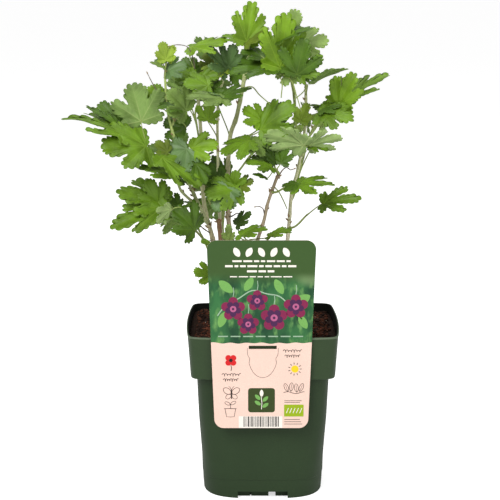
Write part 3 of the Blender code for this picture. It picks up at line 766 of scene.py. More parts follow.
class Bush:
    """The bush: stems, boughs, twigs, stalks, buds and leaves."""

    SOIL_TOP = 139.6
    FOOT_SUNK, BOUGH_LEAD, ROOT_SINK, BUD_TURN = 3.0, 3.0, 0.6, (-0.4, 0.4)
    LIMB_SIDES, LIMB_STEP, LIMB_END = 14, 2.5, 0.75
    RELIEF_PITCH, RELIEF_RUN = 2.2, 0.09
    ROOT_FLARE, ROOT_FADE, BOUGH_FLARE, BOUGH_FADE, TAPER = 1.35, 6.0, 0.5, 2.5, 1.7
    TWIG_RADII, TWIG_HANDLES, HUB_SHARE = (1.0, 0.75), (0.35, 0.3), 0.55
    TWIG_FLARE, TWIG_SIDES, TWIG_PIECES = (1.5, 1.15), 8, 16
    STALK_RADII, STALK_START, STALK_HANDLE = (0.62, 0.40), (0.55, 0.95), 0.35
    STALK_FLARE, STALK_SIDES, STALK_PIECES, STALK_DROP = (1.5, 1.2), 6, 12, 0.35
    BUD_SPACING, BUD_LENGTHS, BUD_LEAN, BARE_END = (14.0, 24.0), (2.2, 3.6), 1.3, 8
    BUD_SWELL, BUD_SWELL_REACH = 0.22, 2.2
    BUD_PROFILE = ((-0.15, 0.22), (0.1, 0.30), (0.35, 0.34), (0.65, 0.24), (0.9, 0.10), (1.0, 0.02))
    BUD_SCALES, BUD_PLUMP, STALK_BUD, TWIG_BUD = ((0.0, 1.0), (0.35, 0.7)), 0.8, 2.4, 2.2
    KNOT_BUDS, KNOT_SINK, KNOT_SPREAD, KNOT_LEANS, KNOT_LENGTHS = 9, 0.8, (-2.5, 2.5), (0.2, 1.4), (1.6, 3.4)
    VEIN_PALER, UNDER_PALER = (36, 30, 26), (34, 26, 26)
    TWIG_FINISH = Surface("twig_green", (142, 158, 84), 0.6, 0.22, 220.0, 2400.0, 0.3, (1.0, 1.0, 0.4))
    BUD_FINISH = Surface("bud_scales", (146, 120, 82), 0.75, 0.3, 500.0, 3000.0, 0.4)
    DEAD_FINISH = Surface("dead_twig", (112, 102, 88), 0.85, 0.3, 400.0, 2600.0, 0.4, (1.0, 1.0, 0.3), 0.2)
    GOLDEN_TURN = math.radians(137.5)
    DRAWN_TINTS = (MID, DARK, MID, BRIGHT, OLIVE)
    DRAWN_TURN, DRAWN_START, DRAWN_OUT, DRAWN_LENGTH = (-0.3, 0.3), (0.35, 0.5), (0.2, 0.6), (0.8, 1.1)
    DEAD_STEP, DEAD_RADII, DEAD_JITTER = 1.6, (0.62, 0.34), (0.85, 1.2)
    BARE_STEP, BARE_RADII = 2.0, (0.62, 0.46)

    BARKS = {
        "old": Bark("bark_old", (204, 190, 156), (206, 206, 158), 190, 260),
        "main": Bark("bark_main", (196, 180, 150), (186, 194, 134), 240, 340),
        "pale": Bark("bark_pale", (212, 206, 178), (210, 212, 162), 200, 300, 0.05),
        "brown": Bark("bark_brown", (184, 170, 146), (170, 152, 122), 150, 300),
        "peeled": Bark("bark_peeled", (116, 84, 58), (140, 106, 74), 150, 240),
        "green": Bark("bark_green", (190, 198, 142), (170, 188, 104), 240, 340, 0.05),
    }

    LIMBS = (
        Limb("stem_left", ((-29, 2), (-30, 3, 156), (-44, 4, 219), (-49, 5, 237), (-52, 7, 262),
                           (-53, 10, 304), (-56, 14, 343), (-57, 14, 352)), (2.7, 1.4), "old"),
        Limb("stem_main", ((-22, 7), (-23, 6, 154), (-28, 5, 217), (-30, 4, 240), (-30, 3, 274),
                           (-28, 2, 306), (-22, 2, 325), (-14, 2, 365), (-12, 2, 374)), (2.4, 1.7), "main"),
        Limb("stem_inner", ((-27, 14), (-28, 14, 154), (-36, 16, 217), (-38, 20, 248), (-39, 26, 281),
                            (-39, 34, 330), (-33, 38, 357)), (1.9, 1.1), "pale"),
        Limb("stem_right_inner", ((-21, -9), (-20, -9, 156), (-11, -12, 199), (0, -15, 233),
                                  (4, -17, 251), (10, -19, 269), (13, -20, 277)), (2.1, 1.3), "brown"),
        Limb("stem_right", ((14, 5), (15, 6, 154), (22, 8, 218), (25, 10, 255), (30, 12, 274),
                            (34, 14, 295), (37, 16, 319), (37, 18, 346)), (2.2, 1.2), "pale"),
        Limb("stem_stub", ((-33, -7), (-34, -7, 165), (-36, -6, 210), (-38, -5, 236)), (2.3, 1.8),
             "peeled"),
        Limb("bough_left", ((-54, -8, 247), (-62, -14, 266), (-69, -16, 284), (-75, -18, 308),
                            (-80, -20, 330), (-82, -20, 358)), (1.7, 1.0), "green", "stem_left", 232),
        Limb("bough_left_low", ((-69, -19, 262), (-72, -21, 269), (-77, -23, 277)), (1.3, 1.0), "green",
             "bough_left", 254),
        Limb("bough_right", ((38, 6, 300), (42, 3, 311), (47, 0, 321)), (1.2, 0.9), "green",
             "stem_right", 289),
    )

    KNOTS = (("stem_right_inner", 262.0), ("stem_right_inner", 276.0), ("stem_stub", 232.0),
             ("stem_left", 206.0), ("stem_left", 228.0), ("stem_main", 216.0), ("stem_main", 238.0),
             ("stem_right", 232.0), ("bough_left", 262.0))
    DEAD_TWIGS = (
        ("stem_right_inner", 242.0, ((0, -18, 247), (-3, -19, 249), (-6, -20, 249))),
        ("stem_right_inner", 272.0, ((16, -21, 280), (20, -22, 283), (23, -23, 281), (26, -24, 282))),
        ("stem_main", 236.0, ((-26, -2, 238), (-22, -6, 241), (-19, -7, 240), (-17, -8, 242))),
        ("stem_left", 345.0, ((-58, 12, 362), (-60, 8, 374), (-64, 6, 382), (-72, 4, 384), (-79, 2, 383))),
        ("bough_left", 336.0, ((-84, -16, 340), (-90, -14, 348), (-94, -13, 355), (-97, -12, 361))),
        ("stem_left", 222.0, ((-52, -4, 228), (-58, -8, 236), (-60, -10, 244))),
        ("stem_stub", 214.0, ((-38, -14, 216), (-42, -18, 220), (-47, -20, 219))),
    )

    BARE_STALKS = (
        ("stem_main", 348.0, ((-9, -4, 349), (-3, -11, 343), (6, -20, 336))),
        ("stem_main", 362.0, ((6, -14, 362), (22, -26, 358), (28, -24, 343), (32, -20, 330))),
        ("stem_right", 340.0, ((38, 6, 350), (34, -6, 345), (26, -20, 340))),
        ("stem_main", 364.0, ((4, -14, 364), (15, -27, 357), (15, -26, 342))),
        ("stem_main", 300.0, ((-29, 4, 308), (-36, 7, 326), (-39, 8, 334))),
        ("stem_inner", 300.0, ((-41, 22, 306), (-48, 20, 318), (-52, 18, 326))),
        ("stem_right_inner", 266.0, ((14, -14, 260), (18, -4, 251), (21, 5, 243))),
    )

    SPRAYS = (
        Spray("leaves_far_left", "bough_left_low", None, (
            Leaf((-116, -30, 311), (-166, -42, 327), MID, OPEN, 0.72, Form.FINGER),
            Leaf((-102, -22, 322), (-110, -18, 353), GREY, UNDER, 1.15),
            Leaf((-98, -30, 302), (-133, -46, 301)), Leaf((-123, -8, 318), (-139, -2, 335), DARK),
            Leaf((-114, -22, 313), (-148, -24, 335), DARK, OPEN, 0.7, Form.FINGER),
        )),
        Spray("leaves_left_band", "bough_left", 285, (
            Leaf((-84, -40, 294), (-53, -48, 269), MID, OPEN, 0.65),
            Leaf((-64, -30, 300), (-81, -38, 287), BLUE, FRONT, 1.2),
            Leaf((-60, -28, 300), (-38, -32, 304), BRIGHT),
            Leaf((-80, -34, 298), (-90, -34, 306), tint=OLIVE, form=Form.YOUNG),
            Leaf((-70, -34, 276), (-104, -44, 286), MID, OPEN, 0.55),
            Leaf((-56, -36, 288), (-48, -42, 272), DARK, OPEN, 0.8),
        )),
        Spray("leaves_left_mid", "bough_left", 318, (
            Leaf((-88, -8, 335), (-93, -4, 351), BRIGHT, FRONT, 1.2, Form.YOUNG),
            Leaf((-64, -24, 331), (-79, -32, 348), GREY, FRONT, 1.15),
            Leaf((-66, -6, 315), (-84, -2, 320), DARK, FRONT, 1.3),
            Leaf((-72, -26, 334), (-87, -34, 334), DARK, OPEN, 1.1),
        )),
        Spray("leaves_upper_left", "bough_left", None, (
            Leaf((-81, -20, 373), (-84, -20, 388), YOUNG, FRONT, 0.85, Form.YOUNG),
            Leaf((-83, -24, 367), (-94, -28, 371), GREY, OPEN, 0.7, Form.YOUNG),
            Leaf((-84, -14, 370), (-88, -12, 378), tint=BLUE, form=Form.YOUNG),
            Leaf((-80, -18, 364), (-64, -20, 369), BLUE),
            Leaf((-80, -14, 374), (-73, -18, 384), YOUNG, FRONT, 0.9, Form.YOUNG),
        )),
        Spray("leaves_left_high", "stem_left", 330, (
            Leaf((-34, -36, 343), (-62, -51, 344), GREY, OPEN, 0.75),
            Leaf((-36, -14, 340), (-10, -16, 348), DARK, OPEN, 0.8),
            Leaf((-48, 2, 344), (-32, -6, 344), DARK), Leaf((-47, -4, 321), (-44, -8, 337), BRIGHT),
            Leaf((-46, -20, 352), (-66, -26, 354)), Leaf((-34, -22, 342), (-44, -34, 346), BLUE, OPEN, 1.2),
        )),
        Spray("leaves_top_left", "stem_left", None, (
            Leaf((-57, 6, 356), (-74, 0, 352), width=1.2), Leaf((-60, 22, 360), (-69, 26, 371), DARK),
            Leaf((-61, 14, 382), (-31, 8, 387), BRIGHT, OPEN, 0.8), Leaf((-54, 4, 354), (-38, 0, 358)),
        )),
        Spray("leaves_top_inner", "stem_inner", None, (
            Leaf((-31, 20, 362), (-50, 8, 382), BLUE, FRONT, 0.8, Form.DEEP),
            Leaf((-28, 26, 358), (-10, 20, 374), DARK, FRONT, 1.1),
            Leaf((-44, 38, 362), (-51, 40, 374), OLIVE), Leaf((-36, 24, 364), (-53, 14, 357), YOUNG, OPEN),
            Leaf((-29, 18, 364), (-25, 10, 384), BLUE, FRONT, 0.7),
        )),
        Spray("leaves_top", "stem_main", None, (
            Leaf((-14, 0, 387), (-9, 4, 420), BRIGHT, FRONT, 0.66),
            Leaf((-17, 8, 387), (-35, 12, 391), MID, OPEN, 0.7),
            Leaf((-14, -4, 386), (5, -8, 398), OLIVE, OPEN, 0.8),
            Leaf((6, -20, 366), (-28, -28, 361), DARK, OPEN, 0.75),
            Leaf((2, -10, 373), (-19, -10, 378), DARK, OPEN),
        )),
        Spray("leaves_top_right", "stem_right", None, (
            Leaf((14, -28, 367), (19, -34, 412), BRIGHT, FRONT, 0.66),
            Leaf((31, 10, 383), (55, 6, 388), PALE),
            Leaf((28, -34, 362), (34, -42, 392), tint=DARK, form=Form.DEEP),
            Leaf((29, -32, 363), (49, -38, 376), width=0.8), Leaf((22, -20, 365), (17, -26, 352), PALE),
            Leaf((44, 14, 351), (73, 10, 362), MID, EDGE, 0.6),
            Leaf((21, -10, 395), (30, -16, 413), tint=PALE, form=Form.YOUNG),
            Leaf((14, -32, 390), (40, -38, 399), DARK, OPEN, 0.6),
        )),
        Spray("leaves_right_high", "bough_right", None, (
            Leaf((64, -4, 333), (77, -6, 361), BRIGHT, FRONT, 0.76),
            Leaf((72, 8, 338), (108, 10, 358), MID, OPEN, 0.6, Form.DEEP),
            Leaf((49, -10, 328), (75, -24, 323), width=0.8),
            Leaf((49, -8, 330), (66, -12, 334), DARK, OPEN, 0.9),
        )),
        Spray("leaves_right_mid", "stem_right", 297, (
            Leaf((32, 6, 319), (39, 8, 334), YOUNG, FRONT, 0.8, Form.YOUNG),
            Leaf((34, -28, 303), (1, -38, 313), PALE, UNDER, 0.7),
            Leaf((39, -22, 302), (66, -28, 309), PALE, UNDER, 0.8, Form.DEEP),
            Leaf((37, -16, 301), (54, -22, 297), MID, OPEN, 0.9),
        )),
        Spray("leaves_centre", "stem_main", 300, (
            Leaf((-2, -22, 315), (26, -28, 336), width=0.8), Leaf((-1, -16, 322), (-17, -16, 332), BRIGHT),
            Leaf((-12, -30, 307), (-35, -38, 297), MID, OPEN),
            Leaf((-10, -28, 306), (0, -36, 294), GREY, OPEN),
        )),
        Spray("leaves_centre_right", "stem_right_inner", None, (
            Leaf((9, -22, 286), (-1, -20, 304), DARK, FRONT, 1.1),
            Leaf((15, -24, 287), (20, -24, 301), DARK, FRONT, 0.9),
            Leaf((6, -36, 286), (-14, -44, 290), MID, OPEN, 0.9),
            Leaf((2, -34, 276), (-9, -38, 279), DARK, OPEN, 0.6, Form.YOUNG),
            Leaf((10, -24, 288), (3, -26, 304), DEEP, OPEN, 0.9),
        )),
        Spray("leaves_right_low", "stem_right_inner", 262, (
            Leaf((29, -36, 271), (58, -48, 272), MID, OPEN, 0.95, Form.DEEP),
            Leaf((27, -36, 272), (18, -44, 266), DARK, OPEN),
        )),
        Spray("leaves_right_far", "stem_right", 226, (
            Leaf((51, -20, 252), (82, -30, 257), width=0.66, form=Form.DEEP),
        )),
        Spray("leaves_centre_low", "stem_main", 248, (
            Leaf((-22, -30, 267), (-48, -38, 262)), Leaf((-30, -32, 267), (-40, -40, 249), BLUE),
            Leaf((-19, -28, 268), (-8, -32, 273), OLIVE, FRONT, 1.1),
            Leaf((-39, -12, 266), (-48, -12, 284), DARK), Leaf((-24, -26, 268), (-22, -32, 282)),
        )),
        Spray("leaves_left_low", "stem_left", 214, (
            Leaf((-82, -26, 254), (-122, -38, 263), width=0.72),
            Leaf((-85, -34, 251), (-126, -51, 236), width=0.5),
            Leaf((-58, -34, 232), (-75, -42, 251), DARK, FRONT, 1.05),
            Leaf((-77, -44, 251), (-88, -50, 240), PALE, UNDER),
            Leaf((-72, -14, 248), (-83, -14, 257), DARK), Leaf((-88, -30, 254), (-97, -34, 274)),
        )),
        Spray("leaves_low_middle", "stem_right_inner", 212, (
            Leaf((-22, -28, 235), (-10, -34, 246), DEEP, FRONT, 0.6),
            Leaf((-19, -40, 229), (3, -48, 234), MID, OPEN, 0.7),
            Leaf((5, -32, 226), (24, -38, 231), MID, OPEN, 0.6),
            Leaf((-29, -38, 222), (-29, -44, 238), PALE, FRONT, 0.5, Form.YOUNG),
        )),
        Spray("leaves_low_left", "stem_stub", 178, (
            Leaf((-40, -40, 218), (-52, -46, 224), MID, OPEN), Leaf((-43, -48, 195), (-58, -54, 200)),
        )),
        *(Spray(f"leaves_back_{name}", limb, height, (), *drawn) for name, limb, height, *drawn in (
            ("left_low", "stem_left", 196, (-66, 28, 240), 8, 24, (1, 2, 3, 6)),
            ("left", "stem_inner", 240, (-70, 45, 276), 7, 26, (2, 4)),
            ("left_high", "stem_left", 300, (-63, 50, 334), 7, 26, (2, 5)),
            ("top", "stem_inner", 330, (-36, 62, 360), 8, 25, (2, 3, 5, 6)),
            ("middle", "stem_main", 270, (5, 42, 299), 5, 27, (1, 2)),
            ("low", "stem_inner", 200, (-30, 56, 250), 8, 25, (0, 2, 3, 5)),
            ("right_top", "stem_right", 302, (26, 60, 368), 7, 26, (0, 2, 5)),
            ("right", "stem_right", 250, (46, 56, 300), 5, 27, (0, 2)),
            ("right_far", "bough_right", 308, (64, 34, 330), 8, 22, (0, 1, 2, 5)),
        )),
    )

    def __init__(self, groups: SharedGroups) -> None:
        """Make the bush's materials.

        Args:
            groups: The shared node groups.
        """
        self.barks = {name: bark.material(groups) for name, bark in self.BARKS.items()}
        self.tissues: dict[Tint, list[bpy.types.Material]] = {}
        for tint in Tint:
            upper, under, roughness = tint.value
            name = f"leaf_{tint.name.lower()}"
            vein, pale = (tuple(min(255, c + add) for c, add in zip(colour, paler))
                          for colour, paler in ((upper, self.VEIN_PALER), (under, self.UNDER_PALER)))
            self.tissues[tint] = [
                Tissue(f"{name}_upper", upper, vein, 0.34, roughness).material(groups),
                Tissue(f"{name}_under", under, pale, 0.7, 0.68, 0.02, 0.25).material(groups),
            ]
        self.twig, self.bud, self.dead = (
            finish.material(groups) for finish in (self.TWIG_FINISH, self.BUD_FINISH, self.DEAD_FINISH))
        self.paths: dict[str, tuple[list[Vector], np.ndarray]] = {}

    def grow(self) -> None:
        """Grow the limbs, and then each spray on its limb."""
        for limb in self.LIMBS:
            self._grow_limb(limb)
        self._add_knots()
        for spray in self.SPRAYS:
            self._grow_spray(spray)

    def place_on(self, limb: str, height: float | None) -> tuple[Vector, Vector, float]:
        """Find the axis point, direction and radius of a limb at a height, or at its tip for None."""
        path, radii = self.paths[limb]
        if height is None:
            return path[-1], (path[-1] - path[-2]).normalized(), 0.0
        for i, (here, after) in enumerate(zip(path, path[1:])):
            if here.z <= height <= after.z:
                share = (height - here.z) / (after.z - here.z)
                return here.lerp(after, share), (after - here).normalized(), float(radii[i])
        raise ValueError(f"no such height on this limb: {height}")

    def side_root(self, limb: str, height: float | None, towards: Vector) -> tuple[Vector, Vector]:
        """Find where something leaves a limb.

        Args:
            limb: The limb's name.
            height: The height on it, or None for its tip.
            towards: Where the thing grows to.

        Returns:
            The point just inside the bark, and the way out.
        """
        foot, ahead, radius = self.place_on(limb, height)
        out = ahead
        if height is not None:
            out = towards - foot
            out = (out - ahead * out.dot(ahead)).normalized()
        return foot + out * radius * self.ROOT_SINK, out

    def _limb_path(self, limb: Limb) -> list[Vector]:
        """Return the axis of a limb, from inside its parent or the soil to its tip."""
        if limb.parent:
            points = [Vector(point) for point in limb.points]
            root, out = self.side_root(limb.parent, limb.height, points[0])
            return smooth_path([root, root + out * self.BOUGH_LEAD, *points], self.LIMB_STEP)
        foot = Vector((*limb.points[0], self.SOIL_TOP - self.FOOT_SUNK))
        return smooth_path([foot, *(Vector(point) for point in limb.points[1:])], self.LIMB_STEP)

    def _limb_widths(self, limb: Limb, radii: np.ndarray, buds: list[float]) -> np.ndarray:
        """Work out a limb's radius at each point and side, with its flare, its buds and its bark's relief.

        Args:
            limb: The limb.
            radii: Its plain radii.
            buds: How far along it the buds sit.

        Returns:
            The radii, one row for each point.
        """
        count = len(radii)
        run = np.arange(count) * self.LIMB_STEP
        swell = np.ones(count)
        for place in buds:
            swell += self.BUD_SWELL * np.exp(-((run - place) / self.BUD_SWELL_REACH) ** 2)
        if limb.parent:
            swell += self.BOUGH_FLARE * np.exp(-run / self.BOUGH_FADE)
        else:
            swell += (self.ROOT_FLARE - 1) * np.exp(-run / self.ROOT_FADE)
        relief = np.ones((count, self.LIMB_SIDES))
        for i, along in enumerate(run * self.RELIEF_RUN + limb.radii[0]):
            for k in range(self.LIMB_SIDES):
                turn = 2 * math.pi * k / self.LIMB_SIDES
                here = (self.RELIEF_PITCH * math.cos(turn), self.RELIEF_PITCH * math.sin(turn), along)
                relief[i, k] += self.BARKS[limb.bark].relief * wobble(here)
        widths = (radii * swell)[:, None] * relief
        widths[-1] *= self.LIMB_END
        return widths

    def _grow_limb(self, limb: Limb) -> None:
        """Make one stem or bough with the relief of its bark, and its buds."""
        rng = random.Random(limb.name)
        path = self._limb_path(limb)
        count = len(path)
        radii = limb.radii[1] + (limb.radii[0] - limb.radii[1]) * (1 - np.linspace(0, 1, count)) ** self.TAPER
        self.paths[limb.name] = (path, radii)
        buds = []
        place = rng.uniform(*self.BUD_SPACING)
        while place < count * self.LIMB_STEP - self.BARE_END:
            buds.append(place)
            place += rng.uniform(*self.BUD_SPACING)
        builder = Builder()
        builder.add(*swept(path, self._limb_widths(limb, radii, buds), self.LIMB_SIDES))
        for number, place in enumerate(buds):
            i = min(count - 2, int(place / self.LIMB_STEP))
            ahead = (path[i + 1] - path[i]).normalized()
            out = around(ahead, number * self.GOLDEN_TURN + rng.uniform(*self.BUD_TURN))
            self._bud(builder, path[i] + out * radii[i], (out + ahead * self.BUD_LEAN).normalized(),
                      rng.uniform(*self.BUD_LENGTHS))
        slot = "young_bark" if limb.parent else "old_bark"
        builder.piece(f"{limb.name}_bark", [self.barks[limb.bark], self.bud], slot, (limb.name,))

    def _bud(self, builder: Builder, at: Vector, heading: Vector, length: float) -> None:
        """Add one pointed bud of two scales.

        Args:
            builder: The piece that it joins.
            at: Where it sits on the bark.
            heading: The way that it points.
            length: Its length.
        """
        places, widths = zip(*self.BUD_PROFILE)
        for tilt, share in self.BUD_SCALES:
            way = (heading + heading.orthogonal().normalized() * tilt).normalized()
            path = [at + way * length * share * t for t in places]
            builder.add(*swept(path, np.array(widths) * length * share * self.BUD_PLUMP, 6), slot=1)

    def _side_path(self, limb: str, height: float, points: tuple[Point, ...], step: float) -> list[Vector]:
        """Return the axis of a twig that leaves a limb at a height and runs through some points."""
        through = [Vector(point) for point in points]
        return smooth_path([self.side_root(limb, height, through[0])[0], *through], step)

    def _add_knots(self) -> None:
        """Add the clusters of old bud scales, the small dead twigs and the stalks without leaves."""
        rng = random.Random("knots")
        scales, dead, bare = Builder(), Builder(), Builder()
        for limb, height in self.KNOTS:
            foot, ahead, radius = self.place_on(limb, height)
            for k in range(self.KNOT_BUDS):
                out = around(ahead, k * self.GOLDEN_TURN)
                at = foot + out * radius * self.KNOT_SINK + ahead * rng.uniform(*self.KNOT_SPREAD)
                heading = (out + ahead * rng.uniform(*self.KNOT_LEANS)).normalized()
                self._bud(scales, at, heading, rng.uniform(*self.KNOT_LENGTHS))
        for twig in self.DEAD_TWIGS:
            path = self._side_path(*twig, self.DEAD_STEP)
            radii = np.linspace(*self.DEAD_RADII, len(path)) * [rng.uniform(*self.DEAD_JITTER) for _ in path]
            dead.add(*swept(path, radii, self.STALK_SIDES))
            self._bud(dead, path[-1], (path[-1] - path[-2]).normalized(), self.TWIG_BUD)
        for stalk in self.BARE_STALKS:
            path = self._side_path(*stalk, self.BARE_STEP)
            bare.add(*swept(path, np.linspace(*self.BARE_RADII, len(path)), self.STALK_SIDES))
        scales.slots = [0] * len(scales.slots)
        scales.piece("bud_scale_clusters", [self.bud], "young_bark")
        dead.piece("dead_twigs", [self.dead, self.bud], "old_bark")
        bare.piece("bare_stalks", [self.twig], "young_bark")

    def _drawn_leaves(self, spray: Spray, rng: random.Random) -> list[Leaf]:
        """Draw the leaves of a spray that lists none.

        Args:
            spray: The spray, with its aim.
            rng: The random numbers of this spray.

        Returns:
            Leaves that turn round the aim and look up and back.
        """
        aim = Vector(spray.aim)
        outward = Vector((aim.x * 0.4, aim.y, 0)).normalized()
        across = outward.cross(Vector((0, 0, 1)))
        leaves = []
        for i in range(spray.count):
            turn = i * self.GOLDEN_TURN + rng.uniform(*self.DRAWN_TURN)
            spread = across * math.cos(turn) + Vector((0, 0, 1)) * math.sin(turn)
            base = aim + spread * spray.blade * rng.uniform(*self.DRAWN_START)
            heading = (spread + outward * rng.uniform(*self.DRAWN_OUT)).normalized()
            tip = base + heading * spray.blade * rng.uniform(*self.DRAWN_LENGTH)
            if i in spray.bare:
                continue
            tint = self.DRAWN_TINTS[(i + len(spray.name)) % len(self.DRAWN_TINTS)]
            leaves.append(Leaf(tuple(base), tuple(tip), tint, BACK))
        return leaves

    def _grow_spray(self, spray: Spray) -> None:
        """Grow a twig with its stalks, and the blades at their ends."""
        rng = random.Random(spray.name)
        leaves = list(spray.leaves) or self._drawn_leaves(spray, rng)
        middle = sum((Vector(leaf.base) for leaf in leaves), Vector()) / len(leaves)
        root, out = self.side_root(spray.limb, spray.height, middle)
        hub = root.lerp(middle, self.HUB_SHARE)
        heading = (middle - root).normalized()
        reach = (hub - root).length
        lead = root + out * reach * self.TWIG_HANDLES[0]
        follow = hub - heading * reach * self.TWIG_HANDLES[1]
        twig = curve_points(root, lead, follow, hub, self.TWIG_PIECES)
        wood, blades = Builder(), Builder()
        widths = np.linspace(*self.TWIG_RADII, len(twig))
        widths[:2] *= self.TWIG_FLARE
        wood.add(*swept(twig, widths, self.TWIG_SIDES))
        tints = list(dict.fromkeys(leaf.tint for leaf in leaves))
        for i, leaf in enumerate(leaves):
            leaf_rng = random.Random(f"{spray.name} {i}")
            share = leaf_rng.uniform(*self.STALK_START)
            start = twig[round(share * (len(twig) - 1))]
            blade = Blade(leaf, leaf_rng)
            self._stalk(wood, start, heading, blade)
            if spray.leaves:
                self._bud(wood, start, (Vector(leaf.base) - start).normalized(), self.STALK_BUD)
            points, faces, upper, values = blade.shape()
            slot = 2 * tints.index(leaf.tint)
            blades.add(points, faces, slot, values)
            under = len(faces) - upper
            blades.slots[-under:] = [slot + 1] * under
        materials = [material for tint in tints for material in self.tissues[tint]]
        blades.piece(spray.name.replace("leaves_", "blades_"), materials, "leaf", (spray.name,))
        wood.piece(spray.name.replace("leaves_", "twigs_"), [self.twig, self.bud], "leaf", (spray.name,))

    def _stalk(self, wood: Builder, start: Vector, heading: Vector, blade: Blade) -> None:
        """Add a leaf stalk from the twig to the foot of its blade.

        Args:
            wood: The piece that it joins.
            start: Where it leaves the twig.
            heading: The way that the twig points.
            blade: The blade that it carries.
        """
        end = blade.foot()
        reach = (end - start).length
        lead = start + heading * reach * self.STALK_HANDLE
        follow = end - (blade.axis + blade.normal * self.STALK_DROP).normalized() * reach * self.STALK_HANDLE
        path = curve_points(start, lead, follow, end, self.STALK_PIECES)
        radii = np.linspace(*self.STALK_RADII, len(path))
        radii[:2] *= self.STALK_FLARE
        wood.add(*swept(path, radii, self.STALK_SIDES))


def square_ring(half: float, exponent: float, bulge: float, z: float, count: int) -> np.ndarray:
    """Return a rounded square at a height.

    Args:
        half: Half its width at the corners.
        exponent: How tight its corners are.
        bulge: How far its sides bow outwards, as a share of the half.
        z: Its height.
        count: How many points it has; they crowd at the corners.

    Returns:
        The points, one row each.
    """
    turn = np.arange(count) * math.tau / count
    turn = turn + 0.2 * np.sin(4 * turn)
    across, along = np.cos(turn), np.sin(turn)
    reach = (np.abs(across) ** exponent + np.abs(along) ** exponent) ** (-1 / exponent)
    across, along = across * reach, along * reach
    x = half * across * (1 + bulge * (1 - along * along))
    y = half * along * (1 + bulge * (1 - across * across))
    return np.column_stack([x, y, np.full(count, z)])


def add_box(builder: Builder, low: Point, high: Point) -> None:
    """Add a box between two corners to a piece."""
    points = np.array([(x, y, z) for z in (low[2], high[2]) for y in (low[1], high[1])
                       for x in (low[0], high[0])], float)
    faces = [(0, 2, 3, 1), (4, 5, 7, 6), (0, 1, 5, 4), (2, 6, 7, 3), (0, 4, 6, 2), (1, 3, 7, 5)]
    builder.add(points, faces)


def cut(target: bpy.types.Object, tool: bpy.types.Object) -> None:
    """Cut one object from another, and remove the tool."""
    modifier = target.modifiers.new("cut", "BOOLEAN")
    modifier.operation, modifier.solver, modifier.object = "DIFFERENCE", "EXACT", tool
    graph = bpy.context.evaluated_depsgraph_get()
    result = bpy.data.meshes.new_from_object(target.evaluated_get(graph))
    target.modifiers.clear()
    target.data = result
    bpy.data.objects.remove(tool, do_unlink=True)


